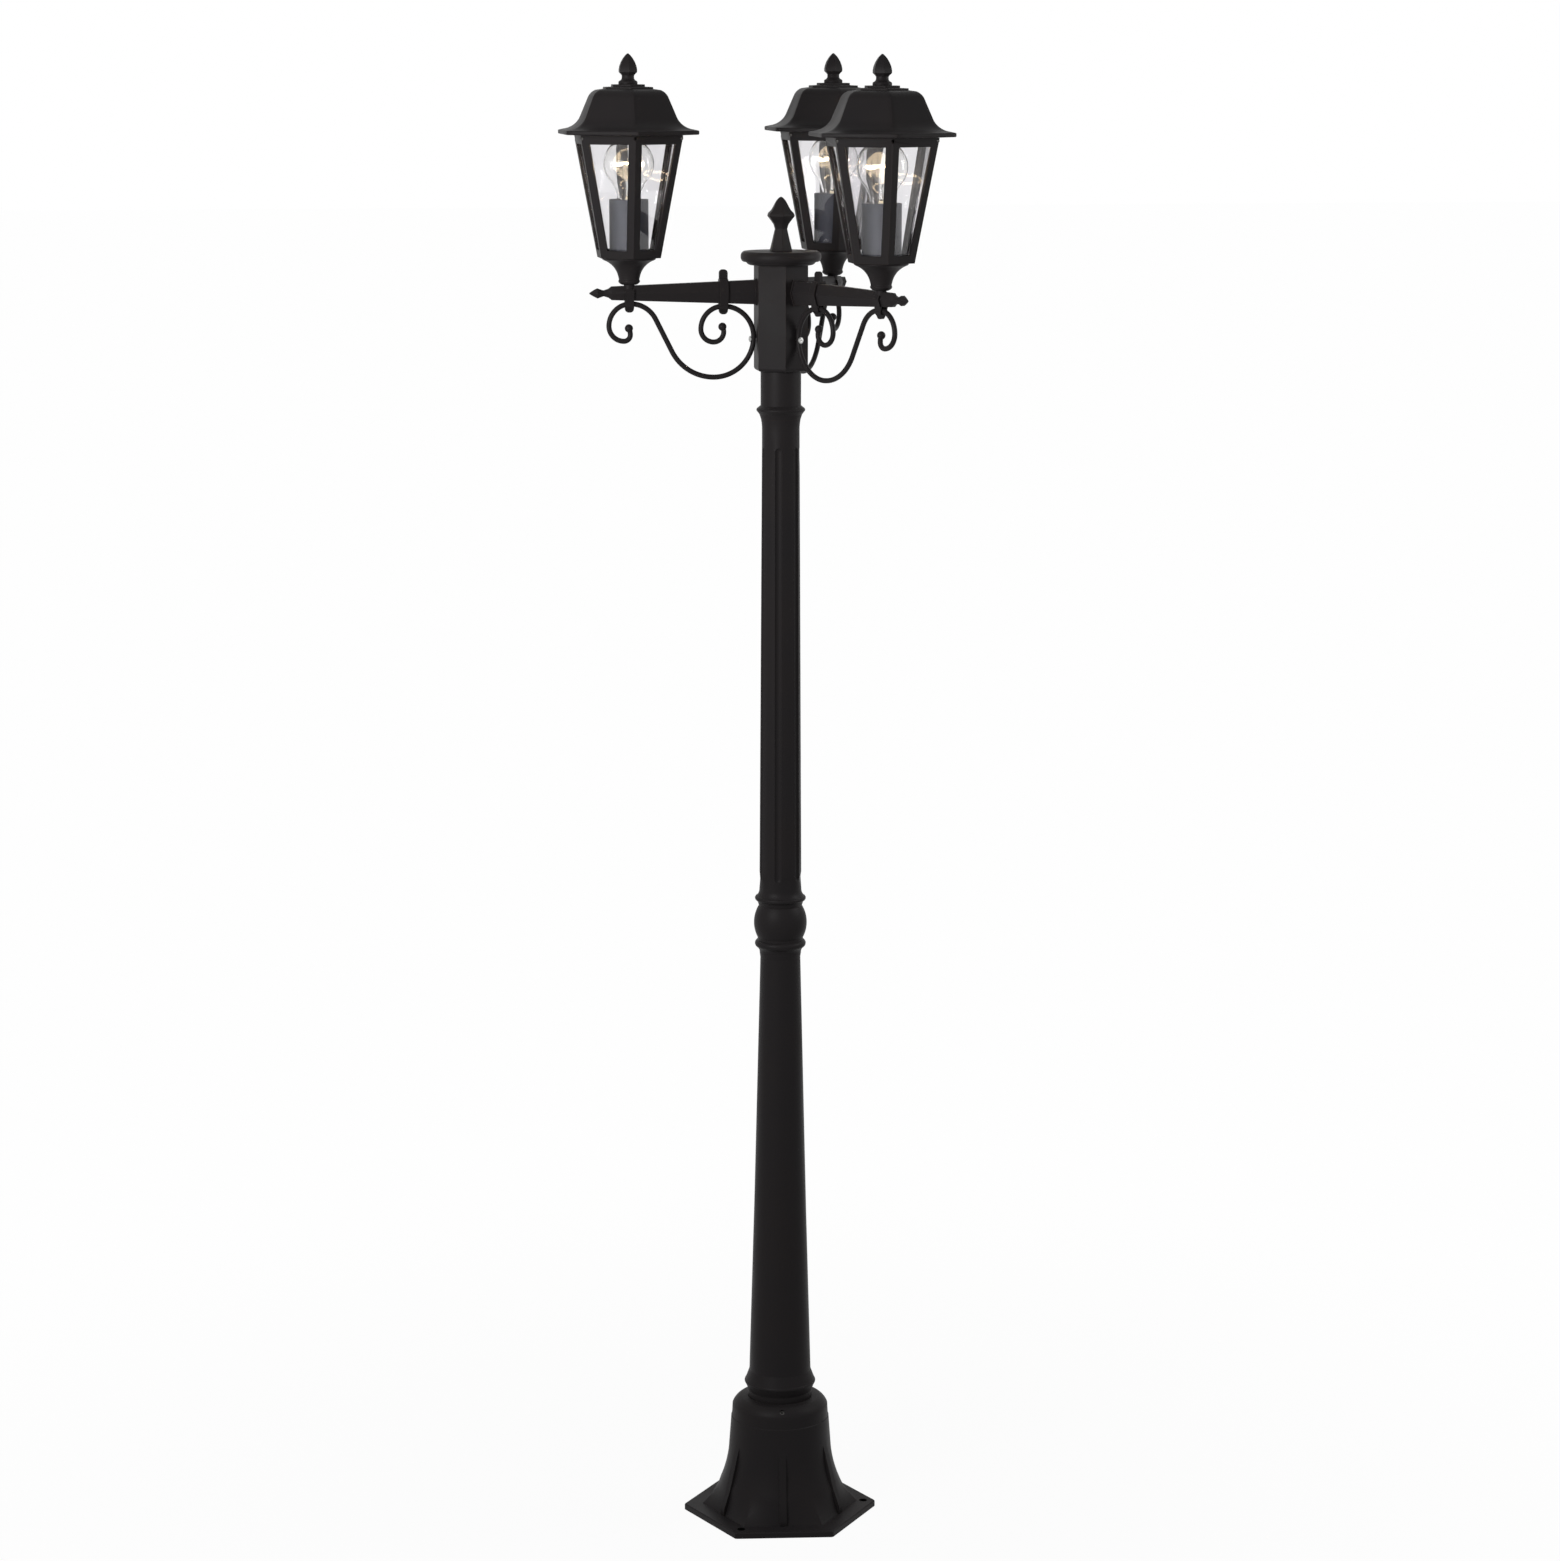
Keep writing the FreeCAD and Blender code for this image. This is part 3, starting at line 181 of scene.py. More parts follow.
class PostSettings(bpy.types.PropertyGroup):
    """All settings of the lantern post."""
    paint: PointerProperty(type=PaintSettings)
    roof: PointerProperty(type=RoofSettings)
    rod: PointerProperty(type=RodSettings)
    lamp: PointerProperty(type=LampSettings)
    stage: PointerProperty(type=StageSettings)


def settings():
    return bpy.context.scene.lantern_post


# ---------------------------------------------------------------- places read from the frame

def axis_of(side):
    """The upright axis of one lantern, at the height of the ground."""
    low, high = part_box("sleeve_" + side)
    return Vector(((low.x + high.x) / 2, (low.y + high.y) / 2, 0.0))


def outward(angle):
    """The level direction at an angle in degrees."""
    turn = math.radians(angle)
    return Vector((math.cos(turn), math.sin(turn), 0.0))


def body_of(node):
    return frame["nodes"][node]["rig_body"]


def of_side(*kinds):
    return [kind + "_" + side for side in SIDES for kind in kinds]


# ---------------------------------------------------------------- node trees

def wire(tree, source, target):
    tree.links.new(source, target)


def feed(tree, socket, value):
    """Wires a socket to another one, or sets it to a plain value."""
    if isinstance(value, bpy.types.NodeSocket):
        wire(tree, value, socket)
    else:
        socket.default_value = value


def feed_all(tree, node, inputs):
    """Feeds a node's inputs by name."""
    for name, value in inputs.items():
        feed(tree, node.inputs[name], value)


def add(tree, kind, inputs=None, **values):
    """A node with some of its properties set and some of its inputs fed."""
    made = tree.nodes.new(kind)
    for name, value in values.items():
        setattr(made, name, value)
    feed_all(tree, made, inputs or {})
    return made


def math_node(tree, operation, *inputs):
    """A Math node fed by numbers or sockets; gives back its output."""
    made = add(tree, "ShaderNodeMath", operation=operation)
    for socket, value in zip(made.inputs, inputs):
        feed(tree, socket, value)
    return made.outputs[0]


def vector_math(tree, operation, *inputs):
    """A Vector Math node fed by vectors, numbers or sockets; gives back its result."""
    made = add(tree, "ShaderNodeVectorMath", operation=operation)
    vectors = [made.inputs[0], made.inputs[3 if operation == "SCALE" else 1]]
    for socket, value in zip(vectors, inputs):
        feed(tree, socket, value)
    return made.outputs[1 if operation in ("LENGTH", "DISTANCE", "DOT_PRODUCT") else 0]


def noise(tree, place, scale, detail):
    """A Noise Texture's value."""
    return add(tree, "ShaderNodeTexNoise",
               {"Vector": place, "Scale": scale, "Detail": detail}).outputs["Fac"]


def spread(tree, value, low, high, start=0.0, end=1.0, **values):
    """Carries a value over from low..high to start..end."""
    return add(tree, "ShaderNodeMapRange",
               {"Value": value, "From Min": low, "From Max": high, "To Min": start, "To Max": end},
               **values).outputs["Result"]


def relief(tree, shader, height, depth, strength):
    """A bump of that depth in metres on a shader's normal."""
    bump = add(tree, "ShaderNodeBump", {"Strength": strength, "Distance": depth, "Height": height})
    wire(tree, bump.outputs["Normal"], shader.inputs["Normal"])


def new_tree(name, kind, inputs, outputs):
    """A node group whose sockets are (name, socket type, default)."""
    tree = bpy.data.node_groups.new(name, kind)
    for socket_name, socket_type, default in inputs:
        socket = tree.interface.new_socket(socket_name, in_out="INPUT", socket_type=socket_type)
        if default is not None:
            socket.default_value = default
    for socket_name, socket_type in outputs:
        tree.interface.new_socket(socket_name, in_out="OUTPUT", socket_type=socket_type)
    return tree, add(tree, "NodeGroupInput"), add(tree, "NodeGroupOutput")


def new_shape_tree(name, inputs):
    """A Geometry Nodes group that takes and gives a shape and ends in one material."""
    return new_tree(name, "GeometryNodeTree",
                    [("Geometry", "NodeSocketGeometry", None), *inputs,
                     ("Material", "NodeSocketMaterial", None)],
                    [("Geometry", "NodeSocketGeometry")])


def end_shape_tree(tree, given, out, shape):
    """Real faces with the tree's material."""
    real = add(tree, "GeometryNodeRealizeInstances", {"Geometry": shape})
    coat = add(tree, "GeometryNodeSetMaterial", {
        "Geometry": real.outputs["Geometry"], "Material": given.outputs["Material"]})
    wire(tree, coat.outputs["Geometry"], out.inputs["Geometry"])


def hexagonal_shell_tree():
    """Carries a closed profile, given as a ring of points, round a hexagon."""
    tree, given, out = new_shape_tree("Hexagonal shell", [
        ("Columns", "NodeSocketInt", 144), ("Corner cut", "NodeSocketFloat", 0.008)])
    profile, columns, cut = (given.outputs[name] for name in ("Geometry", "Columns", "Corner cut"))
    calc = partial(math_node, tree)
    size = add(tree, "GeometryNodeAttributeDomainSize", {"Geometry": profile})
    rows = size.outputs["Point Count"]
    grid = add(tree, "GeometryNodeMeshGrid", {
        "Size X": rows, "Size Y": columns,
        "Vertices X": calc("ADD", rows, 1.0), "Vertices Y": calc("ADD", columns, 1.0)})
    position = add(tree, "GeometryNodeInputPosition").outputs[0]
    place = add(tree, "ShaderNodeSeparateXYZ", {"Vector": position})
    row = calc("ROUND", calc("ADD", place.outputs["X"], calc("MULTIPLY", rows, 0.5)))
    column = calc("ADD", place.outputs["Y"], calc("MULTIPLY", columns, 0.5))
    angle = calc("MULTIPLY", calc("DIVIDE", column, columns), math.tau)
    sixth = math.pi / 3
    turned = calc("FLOORED_MODULO", calc("ADD", angle, sixth / 2), sixth)
    slant = calc("SUBTRACT", turned, sixth / 2)
    sharp = calc("DIVIDE", 1.0, calc("COSINE", slant))
    limit = calc("MULTIPLY", 1.0 / math.cos(sixth / 2), calc("SUBTRACT", 1.0, cut))
    eased = calc("SMOOTH_MIN", sharp, limit, calc("MULTIPLY", cut, 2.0))
    sample = add(tree, "GeometryNodeSampleIndex", {
        "Geometry": profile, "Value": position, "Index": calc("FLOORED_MODULO", row, rows)},
        data_type="FLOAT_VECTOR", domain="POINT")
    spot = add(tree, "ShaderNodeSeparateXYZ", {"Vector": sample.outputs["Value"]})
    out_by = calc("MULTIPLY", spot.outputs["X"], eased)
    joined = add(tree, "ShaderNodeCombineXYZ", {
        "X": calc("MULTIPLY", out_by, calc("COSINE", angle)),
        "Y": calc("MULTIPLY", out_by, calc("SINE", angle)), "Z": spot.outputs["Z"]})
    placed = add(tree, "GeometryNodeSetPosition", {
        "Geometry": grid.outputs["Mesh"], "Position": joined.outputs[0]})
    merge = add(tree, "GeometryNodeMergeByDistance", {
        "Geometry": placed.outputs["Geometry"], "Distance": 1e-6})
    end_shape_tree(tree, given, out, merge.outputs["Geometry"])
    return tree


def swept(tree, path, radius, resolution):
    """A closed round tube along a path; gives back its mesh."""
    section = add(tree, "GeometryNodeCurvePrimitiveCircle", {
        "Resolution": resolution, "Radius": radius})
    tube = add(tree, "GeometryNodeCurveToMesh", {
        "Curve": path, "Profile Curve": section.outputs["Curve"], "Fill Caps": True})
    return tube.outputs["Mesh"]


def bent_rod_tree():
    """A round rod along a path, with a ball forged at each end."""
    tree, given, out = new_shape_tree("Bent rod", [
        ("Rod radius", "NodeSocketFloat", 0.0031), ("Ball radius", "NodeSocketFloat", 0.005)])
    path = given.outputs["Geometry"]
    rod = swept(tree, path, given.outputs["Rod radius"], 20)
    ball = add(tree, "GeometryNodeMeshUVSphere", {
        "Segments": 28, "Rings": 16, "Radius": given.outputs["Ball radius"]})
    ends = add(tree, "GeometryNodeCurveEndpointSelection")
    balls = add(tree, "GeometryNodeInstanceOnPoints", {
        "Points": path, "Selection": ends.outputs["Selection"], "Instance": ball.outputs["Mesh"]})
    both = add(tree, "GeometryNodeJoinGeometry")
    for part in (balls.outputs["Instances"], rod):
        wire(tree, part, both.inputs["Geometry"])
    end_shape_tree(tree, given, out, both.outputs["Geometry"])
    return tree


def coiled_wire_tree():
    """A thin wire wound round a path."""
    tree, given, out = new_shape_tree("Coiled wire", [
        ("Turns", "NodeSocketInt", 42), ("Coil radius", "NodeSocketFloat", 0.0009),
        ("Wire radius", "NodeSocketFloat", 0.0003)])
    calc, aim = partial(math_node, tree), partial(vector_math, tree)
    turns = given.outputs["Turns"]
    steps = add(tree, "GeometryNodeResampleCurve", {
        "Curve": given.outputs["Geometry"], "Count": calc("MULTIPLY", turns, 10.0)})
    along = add(tree, "GeometryNodeSplineParameter").outputs["Factor"]
    angle = calc("MULTIPLY", calc("MULTIPLY", along, turns), math.tau)
    normal = add(tree, "GeometryNodeInputNormal").outputs["Normal"]
    side = aim("CROSS_PRODUCT", add(tree, "GeometryNodeInputTangent").outputs[0], normal)
    offset = aim("ADD", aim("SCALE", normal, calc("COSINE", angle)),
                 aim("SCALE", side, calc("SINE", angle)))
    wound = add(tree, "GeometryNodeSetPosition", {
        "Geometry": steps.outputs["Curve"],
        "Offset": aim("SCALE", offset, given.outputs["Coil radius"])})
    end_shape_tree(tree, given, out,
                   swept(tree, wound.outputs["Geometry"], given.outputs["Wire radius"], 6))
    return tree


def fixings_tree():
    """Puts one screw on each point, its head along the point's aim."""
    tree, given, out = new_shape_tree("Fixings", [("Screw", "NodeSocketObject", None)])
    screw = add(tree, "GeometryNodeObjectInfo", {
        "As Instance": True, "Object": given.outputs["Screw"]})
    aim = add(tree, "GeometryNodeInputNamedAttribute", {"Name": "aim"}, data_type="FLOAT_VECTOR")
    turn = add(tree, "FunctionNodeAlignRotationToVector", {"Vector": aim.outputs["Attribute"]},
               axis="Z")
    placed = add(tree, "GeometryNodeInstanceOnPoints", {
        "Points": given.outputs["Geometry"], "Instance": screw.outputs["Geometry"],
        "Rotation": turn.outputs["Rotation"]})
    end_shape_tree(tree, given, out, placed.outputs["Instances"])
    return tree


def evaluated_mesh(source):
    """The object's shape, with its modifiers run, as a plain mesh."""
    depsgraph = bpy.context.evaluated_depsgraph_get()
    return bpy.data.meshes.new_from_object(source.evaluated_get(depsgraph))


def grown(name, data, tree, values):
    """Runs a shape tree on a mesh or curve and gives back a plain mesh object."""
    source = linked(name + "_seed", data)
    modifier = source.modifiers.new(tree.name, "NODES")
    modifier.node_group = tree
    sockets = {item.name: item.identifier for item in tree.interface.items_tree
               if item.item_type == "SOCKET" and item.in_out == "INPUT"}
    for label, value in values.items():
        modifier[sockets[label]] = value
    mesh = evaluated_mesh(source)
    source.modifiers.clear()
    bpy.data.objects.remove(source)
    if not mesh.polygons:
        raise RuntimeError(name + " came out empty")
    return new_object(name, mesh)


# ---------------------------------------------------------------- meshes

def linked(name, data):
    """A new object in the scene."""
    made = bpy.data.objects.new(name, data)
    bpy.context.collection.objects.link(made)
    return made


def new_object(name, mesh):
    mesh.name = name
    return linked(name, mesh)


def tidy_mesh(mesh, smooth_angle=32):
    """Closes doubles, turns faces outwards and smooths all but the real arrises."""
    work = bmesh.new()
    work.from_mesh(mesh)
    bmesh.ops.remove_doubles(work, verts=work.verts, dist=SAME_POINT)
    bmesh.ops.recalc_face_normals(work, faces=work.faces)
    work.to_mesh(mesh)
    work.free()
    mesh.shade_smooth()
    mesh.set_sharp_from_angle(angle=math.radians(smooth_angle))


def arc(start, end, radius, steps):
    """Points after start up to end along an arc that turns left for a positive radius."""
    chord = end - start
    half = chord.length / 2
    if abs(radius) < half:
        raise ValueError("the arc's radius is under half its chord")
    side = Vector((-chord.y, chord.x)).normalized()
    centre = (start + end) / 2 + side * math.copysign(math.sqrt(radius ** 2 - half ** 2), radius)
    sweep = 2 * math.asin(half / abs(radius)) * math.copysign(1, radius)
    return [centre + Matrix.Rotation(sweep * step / steps, 2) @ (start - centre)
            for step in range(1, steps + 1)]


def section_points(corners, steps=10):
    """Points, in metres, of a closed outline of (across, up[, radius of the next edge]) in mm."""
    spots = [Vector(corner[:2]) for corner in corners]
    points = []
    for index, corner in enumerate(corners):
        start, end = spots[index], spots[(index + 1) % len(spots)]
        points.append(start)
        if len(corner) > 2:
            points += arc(start, end, corner[2], steps)[:-1]
    return [point * MM for point in points]


def ring_mesh(name, points):
    """A closed ring of points and edges in the XZ plane."""
    mesh = bpy.data.meshes.new(name)
    count = len(points)
    mesh.from_pydata([(point.x, 0.0, point.y) for point in points],
                     [(index, (index + 1) % count) for index in range(count)], [])
    return mesh


def poly_curve(name, *lines):
    """A curve of straight pieces through the points of each line."""
    curve = bpy.data.curves.new(name, "CURVE")
    curve.dimensions = "3D"
    for line in lines:
        spline = curve.splines.new("POLY")
        spline.points.add(len(line) - 1)
        for target, point in zip(spline.points, line):
            target.co = (*point, 1.0)
    return curve


def lathe(name, points, around=72, closed=True):
    """Turns an outline in metres about Z; points on the axis are closed to a pole."""
    work = bmesh.new()
    verts = [work.verts.new((point.x, 0.0, point.y)) for point in points]
    pairs = list(zip(verts, verts[1:])) + ([(verts[-1], verts[0])] if closed else [])
    edges = [work.edges.new(pair) for pair in pairs]
    bmesh.ops.spin(work, geom=verts + edges, cent=(0, 0, 0), axis=(0, 0, 1),
                   angle=math.tau, steps=around)
    bmesh.ops.remove_doubles(work, verts=work.verts, dist=SAME_POINT)
    bmesh.ops.dissolve_degenerate(work, edges=work.edges, dist=1e-7)
    mesh = bpy.data.meshes.new(name)
    work.to_mesh(mesh)
    work.free()
    tidy_mesh(mesh)
    return new_object(name, mesh)


def merged_copy(node, name):
    """The node's own shape as a new mesh whose loose triangles are joined."""
    source = frame["nodes"][node].data
    mesh = bpy.data.meshes.new(name)
    mesh.from_pydata([vertex.co[:] for vertex in source.vertices], [],
                     [face.vertices[:] for face in source.polygons])
    work = bmesh.new()
    work.from_mesh(mesh)
    bmesh.ops.remove_doubles(work, verts=work.verts, dist=1e-5)
    bmesh.ops.dissolve_limit(work, angle_limit=math.radians(0.3), verts=work.verts,
                             edges=work.edges)
    work.to_mesh(mesh)
    work.free()
    return new_object(name, mesh)


def round_arrises(piece, width, angle=32, steps=2):
    """Rounds the edges that turn more than the angle, and keeps the flats flat."""
    piece.data.shade_smooth()
    bevel = piece.modifiers.new("arris", "BEVEL")
    bevel.width = width
    bevel.segments = steps
    bevel.limit_method = "ANGLE"
    bevel.angle_limit = math.radians(angle)
    bevel.use_clamp_overlap = True
    bevel.harden_normals = True
    mesh = evaluated_mesh(piece)
    piece.modifiers.clear()
    old = piece.data
    piece.data = mesh
    bpy.data.meshes.remove(old)
    mesh.name = piece.name
    return piece


def stand_for(piece, node, material):
    """Puts a finished piece in the place of its node."""
    piece.data.materials.clear()
    piece.data.materials.append(material)
    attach(piece, body_of(node))
    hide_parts(node)


def recast(node, name, material, width, *rounding):
    """Puts a node's own shape with rounded arrises in the node's place."""
    piece = round_arrises(merged_copy(node, name), width, *rounding)
    stand_for(piece, node, finish(material))


def coat_node(node, material):
    """Gives a node that is shown as it is a better finish."""
    shown = frame["nodes"][node]
    if not shown.material_slots:
        shown.data.materials.append(material)
    shown.material_slots[0].link = "OBJECT"
    shown.material_slots[0].material = material


# ---------------------------------------------------------------- finishes

def coat_skin_group():
    """Peel of a sprayed coat over cast metal, and a mask of cloudy patches."""
    tree, given, out = new_tree(
        "Coat skin", "ShaderNodeTree",
        [("Vector", "NodeSocketVector", None), ("Peel", "NodeSocketFloat", 0.0011),
         ("Casting", "NodeSocketFloat", 0.35)],
        [("Height", "NodeSocketFloat"), ("Cloud", "NodeSocketFloat")])
    place = given.outputs["Vector"]
    scale = math_node(tree, "DIVIDE", 1.0, given.outputs["Peel"])
    peel = noise(tree, place, scale, detail=1.5)
    lumps = noise(tree, place, math_node(tree, "MULTIPLY", scale, 0.12), detail=3.0)
    cast = math_node(tree, "MULTIPLY", lumps, given.outputs["Casting"])
    wire(tree, math_node(tree, "ADD", peel, cast), out.inputs["Height"])
    patches = noise(tree, place, scale=14.0, detail=5.0)
    wire(tree, spread(tree, patches, low=0.35, high=0.68), out.inputs["Cloud"])
    return tree


def highlit_rubbed_edges_group():
    """A mask of outward edges, where a bevelled normal turns away, broken up by noise; it marks
    rubbed wear and a painted edge highlight.
    """
    tree, given, out = new_tree(
        "Rubbed edges", "ShaderNodeTree",
        [("Vector", "NodeSocketVector", None), ("Start", "NodeSocketFloat", 0.53),
         ("End", "NodeSocketFloat", 0.62), ("Reach", "NodeSocketFloat", 0.0016)],
        [("Mask", "NodeSocketFloat")])
    shape = add(tree, "ShaderNodeNewGeometry")
    rounded = add(tree, "ShaderNodeBevel", {"Radius": given.outputs["Reach"]}, samples=4)
    same = vector_math(tree, "DOT_PRODUCT", rounded.outputs["Normal"], shape.outputs["Normal"])
    near = spread(tree, same, low=0.995, high=0.92)
    edge = spread(tree, shape.outputs["Pointiness"], given.outputs["Start"], given.outputs["End"])
    outer = math_node(tree, "MULTIPLY", edge, near)
    breaks = noise(tree, given.outputs["Vector"], scale=90.0, detail=4.0)
    wire(tree, math_node(tree, "MULTIPLY", outer, breaks), out.inputs["Mask"])
    return tree


def new_material(name):
    """A material with a Principled shader; gives back the material, its tree and the shader."""
    material = bpy.data.materials.new(name)
    material.use_nodes = True
    tree = material.node_tree
    return material, tree, tree.nodes["Principled BSDF"]


def object_place(tree):
    return add(tree, "ShaderNodeTexCoord").outputs["Object"]


def mixed(tree, factor, first, second):
    """A colour between two others, each a socket or three numbers."""
    made = add(tree, "ShaderNodeMix", {"Factor": factor}, data_type="RGBA")
    for index, value in ((6, first), (7, second)):
        socket = isinstance(value, bpy.types.NodeSocket)
        feed(tree, made.inputs[index], value if socket else (*value, 1.0))
    return made.outputs[2]


def in_bolt_holes(tree, place):
    """1 within the base plate's three bolt holes."""
    level = vector_math(tree, "MULTIPLY", place, (1.0, 1.0, 0.0))
    nearest = 1.0
    for angle in BOLT_ANGLES:
        away = vector_math(tree, "DISTANCE", level, BOLT_RING * outward(angle))
        nearest = math_node(tree, "MINIMUM", away, nearest)
    return math_node(tree, "LESS_THAN", nearest, BOLT_HOLE)


def coated(name, roughness, casting, depth, bolted=False):
    """Black coat with its peel, cloudy sheen and rubbed edges that are also a painted edge
    highlight, and painted shade in any bolt holes.
    """
    paint = settings().paint
    material, tree, shader = new_material(name)
    place = object_place(tree)
    groups = bpy.data.node_groups
    skin = add(tree, "ShaderNodeGroup", node_tree=groups["Coat skin"])
    feed_all(tree, skin, {"Peel": paint.peel, "Casting": casting, "Vector": place})
    edges = add(tree, "ShaderNodeGroup", node_tree=groups["Rubbed edges"])
    wire(tree, place, edges.inputs["Vector"])
    cloud = skin.outputs["Cloud"]
    brown = [(a + b) / 2 for a, b in zip(paint.coat, paint.rubbed_highlight)]
    cloudy = mixed(tree, math_node(tree, "MULTIPLY", cloud, CLOUD_TINT), paint.coat, brown)
    # Outward edges take the rubbed colour: rubbed wear and a painted edge highlight.
    colour = mixed(tree, edges.outputs["Mask"], cloudy, paint.rubbed_highlight)
    dull = math_node(tree, "ADD", roughness - 0.05, math_node(tree, "MULTIPLY", cloud, CLOUD_DULL))
    if bolted:
        # Painted shade: the bolt holes are coloured near black and made fully rough.
        hole_shade = in_bolt_holes(tree, place)
        colour = mixed(tree, hole_shade, colour, BOLT_PAINTED_SHADE)
        dull = math_node(tree, "MAXIMUM", dull, hole_shade)
    feed_all(tree, shader, {
        "Base Color": colour, "Roughness": dull, "Specular IOR Level": COAT_SHINE})
    relief(tree, shader, skin.outputs["Height"], depth, strength=0.5)
    return material


def mottled(tree, shader, grain, dark, light, roughness, swing):
    """A colour and a roughness that follow one grain."""
    dull = math_node(tree, "ADD", roughness - swing / 2,
                     math_node(tree, "MULTIPLY", grain, swing))
    feed_all(tree, shader, {"Base Color": mixed(tree, grain, dark, light), "Roughness": dull})


def bright_metal(name, colour, roughness):
    """Plated or turned metal with fine scratches."""
    material, tree, shader = new_material(name)
    stretch = add(tree, "ShaderNodeMapping", {
        "Scale": (1.0, 1.0, 9.0), "Vector": object_place(tree)})
    scratch = noise(tree, stretch.outputs["Vector"], scale=420.0, detail=6.0)
    dark = [value * 0.78 for value in colour]
    mottled(tree, shader, scratch, dark, colour, roughness, swing=0.16)
    shader.inputs["Metallic"].default_value = 1.0
    return material


def surface_pick(tree, share, first, second):
    """Ends a material in one shader or, by the share, another."""
    pick = add(tree, "ShaderNodeMixShader", {"Fac": share})
    wire(tree, first, pick.inputs[1])
    wire(tree, second, pick.inputs[2])
    wire(tree, pick.outputs["Shader"], tree.nodes["Material Output"].inputs["Surface"])


def clear_glass(name, tint, roughness=0.0, index=1.47):
    """Clear glass that lets the lamps light what is behind it."""
    material, tree, shader = new_material(name)
    feed_all(tree, shader, {"Base Color": (*tint, 1.0), "Roughness": roughness, "IOR": index,
                            "Transmission Weight": 1.0})
    through = add(tree, "ShaderNodeBsdfTransparent", {"Color": (*tint, 1.0)})
    in_shadow = add(tree, "ShaderNodeLightPath").outputs["Is Shadow Ray"]
    surface_pick(tree, in_shadow, shader.outputs["BSDF"], through.outputs["BSDF"])
    return material


def plain(name, colour, roughness, scale, depth, vary=0.12, shine=0.5):
    """Card, china and other dull finishes with a light mottle."""
    material, tree, shader = new_material(name)
    grain = noise(tree, object_place(tree), scale, detail=4.0)
    dark = [value * (1 - vary) for value in colour]
    light = [value * (1 + vary) for value in colour]
    mottled(tree, shader, grain, dark, light, roughness, swing=0.12)
    relief(tree, shader, grain, depth, strength=0.4)
    shader.inputs["Specular IOR Level"].default_value = shine
    return material


def lit_wire():
    """The hot filament."""
    lamp = settings().lamp
    material, tree, shader = new_material("Lit filament")
    feed_all(tree, shader, {
        "Base Color": (0.05, 0.045, 0.04, 1.0), "Roughness": 0.5,
        "Emission Color": (*lamp.glow_colour, 1.0), "Emission Strength": lamp.glow})
    return material


def make_finishes():
    """All finishes by name."""
    paint = settings().paint
    coat_skin_group()
    highlit_rubbed_edges_group()
    coated("Cast coat", paint.sheen, casting=0.5, depth=0.00012)
    coated("Base coat", paint.sheen, casting=0.5, depth=0.00012, bolted=True)
    coated("Rod coat", paint.rod_sheen, casting=0.15, depth=0.00003)
    bright_metal("Zinc", (0.50, 0.50, 0.49), 0.36)
    bright_metal("Blackened steel", (0.075, 0.072, 0.070), 0.42)
    bright_metal("Lamp cap metal", (0.74, 0.70, 0.60), 0.26)
    bright_metal("Support wire", (0.52, 0.50, 0.47), 0.3)
    clear_glass("Pane glass", (0.905, 0.898, 0.91))
    clear_glass("Lamp glass", (0.985, 0.985, 0.975), index=1.33)
    clear_glass("Mount glass", (0.95, 0.96, 0.95), roughness=0.04, index=1.5)
    plain("Sleeve card", (0.034, 0.036, 0.045), 0.55, scale=340.0, depth=0.000015, shine=0.12)
    plain("China", (0.62, 0.61, 0.58), 0.32, scale=120.0, depth=0.00003, vary=0.05)
    plain("Black insulator", (0.02, 0.02, 0.022), 0.3, scale=200.0, depth=0.00003)
    lit_wire()


def finish(name):
    return bpy.data.materials[name]


# ---------------------------------------------------------------- operators

class POST_OT_castings(bpy.types.Operator):
    """Rounds the arrises of castings and straps, and finishes them, the posts, stems and nuts"""
    bl_idname = "post.castings"
    bl_label = "Castings and posts"

    sharp_cast = ("hub", *of_side("frame", "arm", "cup"))
    straps = of_side("inner_clamp", "outer_clamp")
    as_turned = ("lower_post", "post_coupling", "neck_collar", "hub_cap", "upper_post")

    def execute(self, context):
        width = settings().paint.arris
        for node in self.sharp_cast:
            recast(node, node + "_cast", "Cast coat", width)
        for node in self.straps:
            recast(node, node + "_strap", "Rod coat", width * 0.6)
        recast("base_casting", "base_cast", "Base coat", width)
        for node in self.as_turned:
            coat_node(node, finish("Cast coat"))
        for node in ("arm_nuts", "stem_nuts", *of_side("stem")):
            coat_node(node, finish("Zinc"))
        coat_node("base_set_screws", finish("Blackened steel"))
        return {"FINISHED"}


